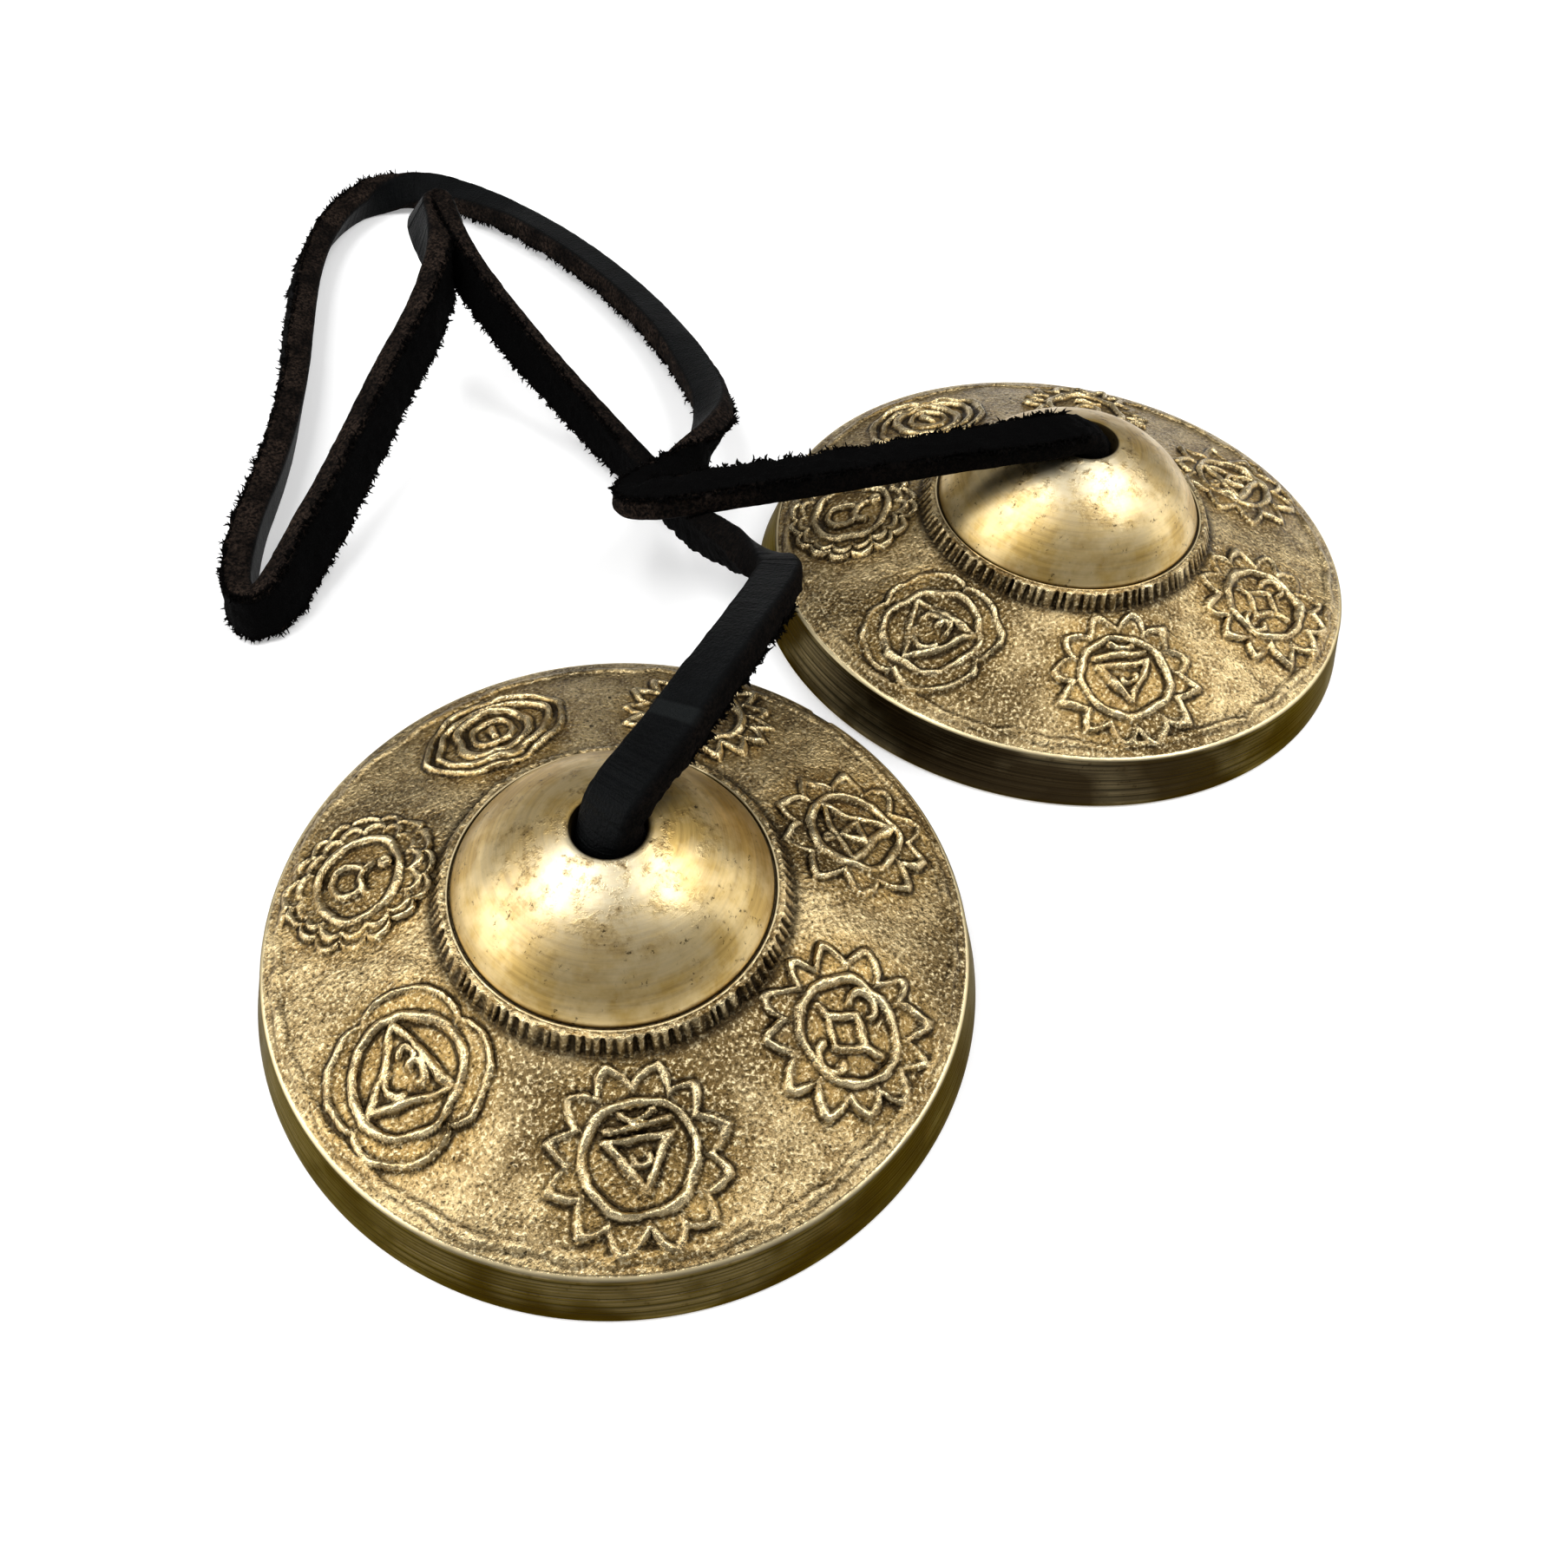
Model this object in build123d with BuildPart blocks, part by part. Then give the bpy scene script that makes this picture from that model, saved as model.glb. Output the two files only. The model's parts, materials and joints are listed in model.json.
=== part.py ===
# A pair of tingsha: two cast cymbals joined by one leather thong.
# Millimetres, +Z up. The origin is on the floor, midway between the two cymbals,
# and +X runs from the left cymbal's hole to the right cymbal's hole.

import os
from math import atan2, cos, hypot, pi, radians, sin, sqrt, tan

from build123d import *

# Cymbal casting
CYMBAL_DIAMETER = 70.0
CYMBAL_GAP = 3.3
RIM_HEIGHT = 5.9
RIM_FLARE = 1.6
RIM_FACE_WIDTH = 3.5
EDGE_ROUND = 0.35
FLANGE_RISE = 5.2
FLANGE_THICKNESS = 5.0
BORDER_INSET = 1.4
BORDER_WIDTH = 0.6
BORDER_HEIGHT = 0.25

# Fluted collar at the foot of the dome
COLLAR_DIAMETER = 33.2
COLLAR_HEIGHT = 1.7
COLLAR_LEAN = 0.9
FLUTE_COUNT = 96
FLUTE_DEPTH = 0.45
LEDGE_WIDTH = 1.0
LEDGE_STEP = 0.2

# Dome
DOME_RISE = 8.4
DOME_WALL = 2.8
HOLLOW_SPAN = 72.5

# Relief medallions on the flange
PETAL_COUNTS = (16, 2, 20, 4, 12, 12, 10)
FIRST_MEDALLION_ANGLE = 25.0
MEDALLION_CIRCLE_DIAMETER = 48.8
MEDALLION_DIAMETER = 15.0
MEDALLION_RING_DIAMETER = 10.4
MEDALLION_RING_WIDTH = 0.9
PETAL_NOTCH = 1.9
RELIEF_HEIGHT = 0.3
RING_EXTRA_HEIGHT = 0.25
RELIEF_ROOT = 1.2

# Leather thong
THONG_WIDTH = 5.2
THONG_THICKNESS = 3.1
THONG_CORNER = 0.7
HOLE_CLEARANCE = 0.27
EXIT_RISE = 2.0
EXIT_REACH = 3.2
EXIT_CREST = 4.7
ARC_SHARE = 0.45

# Knot inside each dome
KNOT_GAP = 0.3
KNOT_CORE_RADIUS = 3.4
KNOT_WRAP_RADIUS = 3.4
KNOT_CROSS_RADIUS = 2.3
KNOT_STRAND = 4.4
KNOT_LEAN = 58.0
KNOT_TAIL_LENGTH = 6.5
KNOT_TAIL_LEAN = 35.0

# The thong's free route from the left exit to the right exit, chosen by hand along the photographed strip:
# the lead over the left rim, the low pass beneath the right strand, the raised fold at the far end,
# the fold at the left, the wide arc on the floor and the fold on top of the low pass.
LOOP = [
    (-27.5, 1.8, 26.2),
    (-19.2, 3.7, 25.0),
    (-11.5, 6.0, 23.3),
    (-5.2, 8.3, 21.0),
    (-1.4, 11.2, 18.9),
    (0.3, 16.0, 16.0),
    (3.0, 22.4, 12.0),
    (6.9, 30.4, 7.2),
    (11.0, 38.6, 3.7),
    (13.8, 46.8, 2.8),
    (15.6, 55.4, 3.6),
    (16.7, 65.2, 6.0),
    (18.3, 75.4, 9.0),
    (20.8, 85.2, 11.6),
    (24.6, 93.2, 13.1),
    (27.8, 98.5, 13.6),
    (29.2, 102.4, 13.8),
    (27.2, 105.8, 13.8),
    (23.3, 105.8, 13.7),
    (20.2, 102.4, 13.5),
    (16.0, 96.0, 13.0),
    (9.5, 87.8, 12.0),
    (0.0, 80.6, 10.2),
    (-11.0, 74.2, 7.6),
    (-21.4, 68.4, 5.0),
    (-28.6, 63.7, 3.4),
    (-33.0, 60.9, 2.8),
    (-36.9, 61.2, 2.8),
    (-38.7, 64.7, 2.8),
    (-37.1, 68.5, 2.8),
    (-32.4, 72.6, 2.8),
    (-24.3, 79.2, 2.8),
    (-14.4, 88.2, 2.8),
    (-5.2, 98.4, 2.8),
    (3.8, 110.0, 2.8),
    (13.4, 121.4, 2.8),
    (23.4, 130.0, 2.8),
    (33.5, 133.0, 2.8),
    (41.5, 129.0, 2.8),
    (45.5, 119.0, 2.8),
    (46.6, 105.5, 2.8),
    (45.5, 91.0, 2.8),
    (42.6, 77.0, 2.9),
    (37.9, 64.6, 3.6),
    (31.8, 53.8, 5.4),
    (24.5, 46.2, 7.8),
    (17.0, 42.6, 9.8),
    (11.3, 41.8, 10.9),
    (6.9, 41.2, 11.2),
    (3.8, 38.8, 11.2),
    (3.9, 35.1, 11.3),
    (8.0, 32.0, 11.8),
    (13.2, 26.6, 13.2),
    (17.8, 20.6, 15.6),
    (21.8, 14.4, 18.7),
    (25.6, 9.2, 21.8),
    (29.7, 5.1, 24.8),
]

# Sizes that follow from those above
hole_x = (CYMBAL_DIAMETER + CYMBAL_GAP) / 2
hole_radius = hypot(THONG_WIDTH, THONG_THICKNESS) / 2 + HOLE_CLEARANCE
bottom_radius = CYMBAL_DIAMETER / 2
rim_radius = bottom_radius - RIM_FLARE
collar_radius = COLLAR_DIAMETER / 2
collar_foot = RIM_HEIGHT + FLANGE_RISE
collar_top = collar_foot + COLLAR_HEIGHT
ledge_outer = collar_radius - COLLAR_LEAN
ledge_inner = ledge_outer - LEDGE_WIDTH
hole_top = collar_top + DOME_RISE
flange_slope = atan2(FLANGE_RISE, rim_radius - collar_radius)

# The dome's sphere passes through the ledge's inner edge and the hole's rim
dome_centre = (hole_radius**2 + hole_top**2 - ledge_inner**2 - collar_top**2) / (2 * (hole_top - collar_top))
dome_radius = hypot(ledge_inner, collar_top - dome_centre)
hollow_radius = dome_radius - DOME_WALL
hole_bottom = dome_centre + sqrt(hollow_radius**2 - hole_radius**2)
hollow_mouth_radius = hollow_radius * sin(radians(HOLLOW_SPAN))
hollow_mouth = dome_centre + hollow_radius * cos(radians(HOLLOW_SPAN))

thong_end = hole_bottom - HOLE_CLEARANCE
knot_top = thong_end - KNOT_GAP


def flange_top(radius):
    """Height of the sloping upper face of the flange at a radius."""
    return RIM_HEIGHT + (rim_radius - radius) * tan(flange_slope)


def medallion_plane(angle):
    """Plane under the flange's upper face, square to its slope, with its own y pointing to the rim."""
    radius = MEDALLION_CIRCLE_DIAMETER / 2
    outward = Vector(cos(angle), sin(angle), 0)
    normal = outward * sin(flange_slope) + Vector(0, 0, cos(flange_slope))
    on_face = outward * radius + Vector(0, 0, flange_top(radius))
    return Plane(origin=on_face - normal * RELIEF_ROOT, x_dir=(sin(angle), -cos(angle), 0), z_dir=normal)


def star_points(count, tip_radius, notch_radius):
    """Corners of a star with its first tip on the x axis."""
    corners = []
    for step in range(2 * count):
        radius = tip_radius if step % 2 == 0 else notch_radius
        turn = pi * step / count
        corners.append((radius * cos(turn), radius * sin(turn)))
    return corners


def flute_ring(height, tip_radius):
    """Sketch of the toothed ring that the collar shows at one height."""
    with BuildSketch(Plane.XY.offset(height)) as ring:
        Polygon(*star_points(FLUTE_COUNT, tip_radius, tip_radius - FLUTE_DEPTH), align=None)
        Circle(ledge_inner, mode=Mode.SUBTRACT)
    return ring.sketch


# Cymbal casting, about its own axis
core_radius = ledge_outer - FLUTE_DEPTH - LEDGE_STEP
face_inner = bottom_radius - RIM_FACE_WIDTH
border_outer = rim_radius - BORDER_INSET
border_inner = border_outer - BORDER_WIDTH
border_middle = (border_outer + border_inner) / 2
edge_inner = rim_radius - EDGE_ROUND
petal_tip = MEDALLION_DIAMETER / 2
ring_outer = MEDALLION_RING_DIAMETER / 2
ring_inner = ring_outer - MEDALLION_RING_WIDTH
medallion_step = 360 / len(PETAL_COUNTS)
medallion_angles = [FIRST_MEDALLION_ANGLE + index * medallion_step for index in range(len(PETAL_COUNTS))]
medallion_planes = [medallion_plane(radians(angle)) for angle in medallion_angles]

with BuildPart() as casting:
    # Rim, flange, collar core and dome in half section, with the hollow underneath
    with BuildSketch(Plane.XZ):
        with BuildLine():
            Line((hole_radius, hole_bottom), (hole_radius, hole_top))
            RadiusArc((hole_radius, hole_top), (ledge_inner, collar_top), dome_radius)
            Polyline(
                (ledge_inner, collar_top),
                (ledge_inner, collar_top - LEDGE_STEP),
                (core_radius, collar_top - LEDGE_STEP),
                (core_radius, flange_top(core_radius)),
                (border_inner, flange_top(border_inner)),
                (border_middle, flange_top(border_middle) + BORDER_HEIGHT),
                (border_outer, flange_top(border_outer)),
                (edge_inner, flange_top(edge_inner)),
                (rim_radius, RIM_HEIGHT - EDGE_ROUND),
                (bottom_radius, EDGE_ROUND),
                (bottom_radius - EDGE_ROUND, 0),
                (face_inner, 0),
                (collar_radius, flange_top(collar_radius) - FLANGE_THICKNESS),
                (hollow_mouth_radius, hollow_mouth),
            )
            RadiusArc((hollow_mouth_radius, hollow_mouth), (hole_radius, hole_bottom), -hollow_radius)
        make_face()
    revolve(axis=Axis.Z)

    # Medallions: petalled plates, each with a ring standing on it
    for plane, petals in zip(medallion_planes, PETAL_COUNTS):
        with BuildSketch(plane):
            Polygon(*star_points(petals, petal_tip, petal_tip - PETAL_NOTCH), align=None)
            Circle(ring_inner, mode=Mode.SUBTRACT)
    extrude(amount=RELIEF_ROOT + RELIEF_HEIGHT)
    with BuildSketch(*medallion_planes):
        Circle(ring_outer)
        Circle(ring_inner, mode=Mode.SUBTRACT)
    extrude(amount=RELIEF_ROOT + RELIEF_HEIGHT + RING_EXTRA_HEIGHT)

    # Fluted collar, sunk a flute's depth into the flange
    foot_lean = COLLAR_LEAN * FLUTE_DEPTH / COLLAR_HEIGHT
    collar_sunk = flute_ring(collar_foot - FLUTE_DEPTH, collar_radius + foot_lean)
    collar_ledge = flute_ring(collar_top, ledge_outer)
    loft(sections=[collar_sunk, collar_ledge], ruled=True)

# Knot, about the axis of the hole: a wrap and a crossing turn round a core, with the strip's tail hanging out
knot_middle = knot_top - KNOT_CORE_RADIUS
wrap_middle = knot_middle - KNOT_STRAND / 4
tail_direction = (0, -sin(radians(KNOT_TAIL_LEAN)), -cos(radians(KNOT_TAIL_LEAN)))

with BuildPart() as tied_end:
    with Locations((0, 0, knot_middle)):
        Sphere(KNOT_CORE_RADIUS)
    with Locations((0, 0, wrap_middle)):
        Torus(KNOT_WRAP_RADIUS, KNOT_STRAND / 2)
    with Locations(Location((0, 0, wrap_middle), (KNOT_LEAN, 0, 0))):
        Torus(KNOT_CROSS_RADIUS, KNOT_STRAND / 2)
    with BuildSketch(Plane(origin=(0, 0, wrap_middle), x_dir=(1, 0, 0), z_dir=tail_direction)):
        RectangleRounded(THONG_WIDTH, THONG_THICKNESS, THONG_CORNER)
    extrude(amount=KNOT_TAIL_LENGTH)

# The pair: one casting and one knot on each hole's axis
os.makedirs("parts", exist_ok=True)
for side, x in (("left", -hole_x), ("right", hole_x)):
    with BuildPart() as cymbal:
        with Locations((x, 0, 0)):
            add(casting.part)
    cymbal.part.label = f"{side}_cymbal"
    export_step(cymbal.part, f"parts/{side}_cymbal.step")

    with BuildPart() as knot:
        with Locations((x, 0, 0)):
            add(tied_end.part)
    knot.part.label = f"{side}_knot"
    export_step(knot.part, f"parts/{side}_knot.step")


def exit_points(x, next_point):
    """The strip's end inside the bore, the turn above the hole's rim and the crest towards the next point."""
    heading = Vector(next_point[0] - x, next_point[1], 0).normalized()
    crest = Vector(x, 0, hole_top + EXIT_CREST) + heading * EXIT_REACH
    return [(x, 0, thong_end), (x, 0, hole_top + EXIT_RISE), tuple(crest)]


def corner_radii(points):
    """Radius of the arc at each corner, as large as the shorter of its two runs allows."""
    radii = []
    for before, corner, after in zip(points, points[1:], points[2:]):
        run_in = Vector(*corner) - Vector(*before)
        run_out = Vector(*after) - Vector(*corner)
        half_turn = radians(run_in.get_angle(run_out)) / 2
        radii.append(ARC_SHARE * min(run_in.length, run_out.length) / tan(half_turn))
    return radii


# Thong: one flat strip, on edge, from knot to knot
left_exit = exit_points(-hole_x, LOOP[0])
right_exit = exit_points(hole_x, LOOP[-1])
route_points = left_exit + LOOP + right_exit[::-1]
radii = corner_radii(route_points)

with BuildPart() as thong:
    with BuildLine() as route:
        FilletPolyline(*route_points, radius=radii)
    lead = Vector(LOOP[0][0] + hole_x, LOOP[0][1], 0)
    with BuildSketch(Plane(origin=left_exit[0], x_dir=lead, z_dir=(0, 0, 1))) as strip:
        RectangleRounded(THONG_WIDTH, THONG_THICKNESS, THONG_CORNER)
    sweep(path=route.wire())
thong.part.label = "thong"
export_step(thong.part, "parts/thong.step")

path_length = route.wire().length
plain_volume = strip.sketch.area * path_length
print("thong corner radii:", [round(radius, 1) for radius in radii])
print("thong length:", round(path_length, 1))
print("thong volume over section times length:", round(thong.part.volume / plain_volume, 4))
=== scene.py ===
# Looks of a pair of tingsha: two cast brass cymbals joined by one black leather thong.
# Metres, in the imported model's frame: +X runs from the left hole to the right hole, and +Z is up.

import json
from math import asin, atan2, cos, hypot, pi, radians, sin, sqrt

import bmesh
import bpy
import numpy as np
from mathutils import Euler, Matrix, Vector


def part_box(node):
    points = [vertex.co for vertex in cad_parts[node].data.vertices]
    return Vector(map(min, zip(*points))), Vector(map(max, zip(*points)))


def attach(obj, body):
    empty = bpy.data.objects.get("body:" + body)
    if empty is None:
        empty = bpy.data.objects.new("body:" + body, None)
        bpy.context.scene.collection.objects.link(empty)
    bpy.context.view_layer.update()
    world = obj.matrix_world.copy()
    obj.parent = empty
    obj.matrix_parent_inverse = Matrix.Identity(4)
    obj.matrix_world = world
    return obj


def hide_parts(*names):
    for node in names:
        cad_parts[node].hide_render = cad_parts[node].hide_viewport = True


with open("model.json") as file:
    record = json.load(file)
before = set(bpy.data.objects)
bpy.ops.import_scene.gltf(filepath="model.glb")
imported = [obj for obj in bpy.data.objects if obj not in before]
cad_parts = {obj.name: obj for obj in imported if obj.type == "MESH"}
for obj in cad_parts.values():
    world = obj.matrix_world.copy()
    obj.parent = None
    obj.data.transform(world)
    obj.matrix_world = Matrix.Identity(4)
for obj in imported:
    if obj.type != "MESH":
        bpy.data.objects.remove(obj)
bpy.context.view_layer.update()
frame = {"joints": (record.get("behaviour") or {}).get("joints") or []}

MM = 0.001

# Camera, fitted to the rims, collars and holes of the two cymbals
CAMERA_PLACE = (-0.07449, -0.04456, 0.10258)
CAMERA_HEADING = 44.79
CAMERA_PITCH = 54.40
CAMERA_ROLL = -0.44
CAMERA_LENS = 27.12
SENSOR_WIDTH = 36.0
CAMERA_SHIFT = (0.0746, 0.0260)
NEAREST_SEEN = 0.001

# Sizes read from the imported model
pivots = {joint["name"]: joint["pos_m"] for joint in frame["joints"]}
hole_x = pivots["right_tilt"][0]
cymbal_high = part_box("right_cymbal")[1]
bottom_radius = (cymbal_high.x - hole_x) / MM
hole_top = cymbal_high.z / MM

# Cymbal, in millimetres and degrees about its own axis
RIM_HEIGHT = 5.9
RIM_FLARE = 1.6
RIM_FACE_WIDTH = 3.5
EDGE_ROUND = 0.4
EDGE_LIFT = 0.1
FLANGE_RISE = 5.2
FLANGE_THICKNESS = 5.0
BORDER_RADIUS = 31.7
BORDER_HALF_WIDTH = 0.5
BORDER_HEIGHT = 0.30
COLLAR_RADIUS = 16.6
COLLAR_HEIGHT = 1.7
COLLAR_LEAN = 0.9
COLLAR_ROUGHNESS = 0.07
COLLAR_EDGE_DROP = 0.08
COLLAR_GAP = 0.16
LEDGE_WIDTH = 1.0
DOME_WALL = 2.8
HOLLOW_SPAN = 72.5
HOLE_RADIUS = 3.3
HOLE_BEVEL = 0.35
HOLE_EASE = 0.02
SHARP_ANGLE = 50

# Flutes of the collar; their spread is in shares of the depth, and how far they stray in shares of a flute
FLUTE_COUNT = 104
FLUTE_DEPTH = 0.48
FLUTE_SPREAD = (0.45, 1.2)
FLUTE_STRAY = 0.42
FLUTE_SHARPNESS = 1.5

# Share of a flute's depth at the collar's top, its gain from there down, and its loss to the foot
FLUTE_TOP = 0.25
FLUTE_DEEPENING = 2.6
FLUTE_FADING = 0.3

# Groove, thin lip and ledge: distances out from the dome's foot, and drops below the collar's top
GROOVE_INNER = 0.02
GROOVE_OUTER = 0.14
GROOVE_DEPTH = 0.22
LIP_INNER = 0.24
LIP_OUTER = 0.36
LIP_ROUND = 0.02
LIP_FOOT = 0.46
LIP_FOOT_DROP = 0.07
LIP_FOOT_WAVE = 0.04
LEDGE_MIDDLE = 0.70
LEDGE_DROP = 0.04
LEDGE_WAVE = 0.05

# Sizes of the waves in the hand-cut ledge and collar
UNEVEN_CELL = 1.3
FINE_UNEVEN_CELL = 0.5

# Dent in the left cymbal's rim, on the side of the right cymbal
DENT_ANGLE = 4.0
DENT_HALF_WIDTH = 1.3
DENT_DEPTH = 0.55
DENT_REACH = 1.6

# Fineness of the cymbal's mesh: points round it and rings along its profile
RELIEF_STEPS = 960
DOME_STEPS = 320
BACK_STEPS = 160
FLANGE_RINGS = 100
COLLAR_RINGS = 9
DOME_RINGS = 36
WALL_RINGS = 8
HOLLOW_RINGS = 14

# Places of rings round the rim's edge, down its side and along the underside, as shares of each
EDGE_SHARES = (0.35, 0.7, 1.0)
WALL_START = 0.03
UNDERSIDE_SHARES = (0.03, 0.35, 0.68, 1.0)

# Gap between the hollow's last ring and the hole, as an angle in radians
HOLLOW_END = 0.03

# Relief on the flange, in millimetres and degrees
MEDALLION_CIRCLE = 24.4
FIRST_MEDALLION_ANGLE = 25.0
MEDALLION_REACH = 8.6
RING_HEIGHT = 0.74
PETAL_HEIGHT = 0.60
MOTIF_HEIGHT = 0.64
PLATE_HEIGHT = 0.20
RING_HALF_WIDTH = 0.56
PETAL_HALF_WIDTH = 0.43
MOTIF_HALF_WIDTH = 0.46
WOBBLE = 0.40
WOBBLE_CELL = 2.3
GRAIN_HEIGHT = 0.022
GRAIN_CELL = 0.5
SWELL_HEIGHT = 0.24
SWELL_CELL = 6.5
SWELL_FADE = 2.5

# Worn height of the relief, as shares of its full height
WEAR_CELL = 1.7
WEAR_MEAN = 0.82
WEAR_SPREAD = 0.42

# Bare ground between the medallions, where a painted sheen lies: how far from their middles it starts, and
# the width of its fade
GROUND_START = 7.4
GROUND_FADE = 2.4

# Painted shade beside the relief, spread over so many places of the mesh, painted shade at the collar's foot,
# and the worn edge with its painted highlight
SHADE_SPREAD = 3
SHADE_RELIEF = 0.18
FOOT_SHADE_WIDTH = 1.1
WORN_HIGHLIT_EDGE_WIDTH = 0.22

# Side toward which each cymbal's colour darkens, in degrees about its axis, and the size of its stains in
# millimetres
DARK_SIDES = {"left": -70.0, "right": 190.0}
DARK_SHARE = 0.50
STAIN_CELL = 9.0

# Thong, in metres
THONG_WIDTH = 0.0052
THONG_THICKNESS = 0.0031
THONG_CORNER = 0.0007
STEPS_PER_POINT = 24
CORNER_STEPS = 3
WIDE_STEPS = 7
THIN_STEPS = 4

# Level part of the strip's direction from which it counts as lying
LEAST_LEVEL = 0.4

# Unevenness of the strip: sizes of its waves, their height on the smooth face, and what other faces add
STRIP_WAVE = 0.0017
FINE_STRIP_WAVE = 0.0006
SMOOTH_ROUGHNESS = 0.00002
EDGE_ROUGHNESS = 0.00003
FLESH_ROUGHNESS = 0.00018

# Each end of the thong is gathered round where it fills its hole, and flat again further on
PLUG_RADIUS = 0.00295
PLUG_END = 0.0016
FLAT_AGAIN = 0.0050

# Route of the thong's centre line from the left hole to the right hole
THONG_ROUTE = [
    (-0.03665, 0.0, 0.01806),
    (-0.0366, 0.0, 0.0224),
    (-0.0339, 0.00025, 0.0239),
    (-0.0288, 0.0010, 0.0246),
    (-0.0226, 0.0028, 0.0247),
    (-0.0156, 0.0049, 0.0239),
    (-0.0092, 0.0073, 0.0225),
    (-0.0048, 0.0092, 0.0212),
    (-0.0020, 0.0108, 0.0200),
    (-0.0010, 0.0134, 0.0186),
    (0.0012, 0.0180, 0.0158),
    (0.0036, 0.0234, 0.0128),
    (0.0062, 0.0296, 0.0094),
    (0.0094, 0.0356, 0.0064),
    (0.0128, 0.0426, 0.0040),
    (0.0150, 0.0500, 0.0031),
    (0.0162, 0.0580, 0.0042),
    (0.0167, 0.0656, 0.0063),
    (0.0172, 0.0730, 0.0087),
    (0.0181, 0.0804, 0.0113),
    (0.0193, 0.0868, 0.0133),
    (0.0216, 0.0926, 0.0144),
    (0.0244, 0.0970, 0.0148),
    (0.0265, 0.0998, 0.0149),
    (0.0257, 0.1020, 0.0149),
    (0.0232, 0.1013, 0.0149),
    (0.0209, 0.0972, 0.0149),
    (0.0183, 0.0919, 0.0146),
    (0.0143, 0.0869, 0.0139),
    (0.0066, 0.0818, 0.0124),
    (-0.0010, 0.0782, 0.0108),
    (-0.0096, 0.0736, 0.0086),
    (-0.0180, 0.0693, 0.0065),
    (-0.0250, 0.0660, 0.0049),
    (-0.0306, 0.0632, 0.0038),
    (-0.0341, 0.0616, 0.0034),
    (-0.0367, 0.0626, 0.0033),
    (-0.0362, 0.0660, 0.0032),
    (-0.0330, 0.0702, 0.0030),
    (-0.0278, 0.0760, 0.0029),
    (-0.0212, 0.0816, 0.0029),
    (-0.0144, 0.0882, 0.0028),
    (-0.0052, 0.0984, 0.0028),
    (0.0038, 0.1100, 0.0028),
    (0.0134, 0.1214, 0.0028),
    (0.0234, 0.1300, 0.0028),
    (0.0335, 0.1330, 0.0028),
    (0.0415, 0.1290, 0.0028),
    (0.0455, 0.1190, 0.0028),
    (0.0466, 0.1055, 0.0028),
    (0.0455, 0.0910, 0.0028),
    (0.0426, 0.0770, 0.0029),
    (0.0386, 0.0656, 0.0034),
    (0.0342, 0.0569, 0.0043),
    (0.0290, 0.0484, 0.0061),
    (0.0224, 0.0430, 0.0080),
    (0.0162, 0.0398, 0.0092),
    (0.0112, 0.0386, 0.0098),
    (0.0066, 0.0386, 0.0103),
    (0.0028, 0.0378, 0.0113),
    (0.0026, 0.0354, 0.0126),
    (0.0056, 0.0320, 0.0134),
    (0.0120, 0.0261, 0.0147),
    (0.0171, 0.0196, 0.0169),
    (0.0224, 0.0126, 0.0197),
    (0.0268, 0.0070, 0.0217),
    (0.0310, 0.0025, 0.0228),
    (0.0345, 0.0006, 0.0229),
    (0.0364, 0.0, 0.0216),
    (0.03665, 0.0, 0.01806),
]

# How the strip lies: number of the route point, width and thickness in millimetres, and roll in degrees
# from its smooth face lying to the right of travel (0) to lying upwards (90)
THONG_LIE = [
    (0, 5.7, 2.8, 94),
    (3, 5.2, 3.2, 101),
    (5, 4.8, 3.3, 103),
    (7, 4.6, 3.3, 98),
    (8, 4.5, 3.2, 82),
    (9, 4.6, 3.1, 55),
    (10, 4.8, 3.1, 25),
    (12, 4.8, 3.1, 5),
    (15, 5.1, 3.1, -10),
    (18, 5.2, 3.1, -30),
    (20, 5.2, 3.1, -22),
    (22, 5.3, 3.1, 4),
    (24, 5.5, 3.2, 42),
    (26, 5.7, 3.5, 36),
    (28, 5.9, 3.6, -6),
    (33, 6.1, 3.4, -17),
    (36, 5.8, 3.5, -8),
    (38, 5.4, 3.6, -8),
    (41, 5.2, 3.6, -18),
    (43, 5.2, 3.6, -30),
    (45, 5.2, 3.5, -38),
    (46, 5.2, 3.3, -28),
    (47, 5.2, 3.2, 34),
    (48, 5.2, 3.1, 82),
    (49, 5.2, 3.1, 98),
    (52, 5.1, 3.1, 100),
    (54, 5.1, 3.1, 76),
    (55, 5.0, 3.1, 50),
    (56, 5.0, 3.1, 16),
    (57, 4.9, 3.0, -44),
    (58, 5.0, 3.0, -78),
    (59, 5.2, 3.0, -84),
    (63, 5.3, 3.0, -82),
    (66, 5.2, 2.4, -90),
    (69, 5.2, 2.4, -90),
]

# Frayed tufts, on the stretches between pairs of route points
FIBRE_SPANS = ((2.5, 6.5), (15, 67.5))
FIBRE_COUNT = 8000
FIBRE_LENGTH = (0.00020, 0.00074)
FIBRE_THICKNESS = (0.00020, 0.00040)
FIBRE_CURL = 1.0
FIBRE_LEAN = 1.2
FIBRE_STRAY = 0.4
FIBRE_SIDES = 3
FLOOR_CLEARANCE = 0.00005

# Rings of one tuft: share of its length, and of its thickness there
FIBRE_RINGS = ((-0.25, 1.0), (0.4, 0.9), (0.8, 0.7))

# Where the random patterns of each piece start
CASTING_SEEDS = {"left": 11, "right": 41}
KNOT_SEEDS = {"left": 91, "right": 92}
THONG_SEED = 71
FIBRE_SEED = 81


# Small helpers


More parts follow.
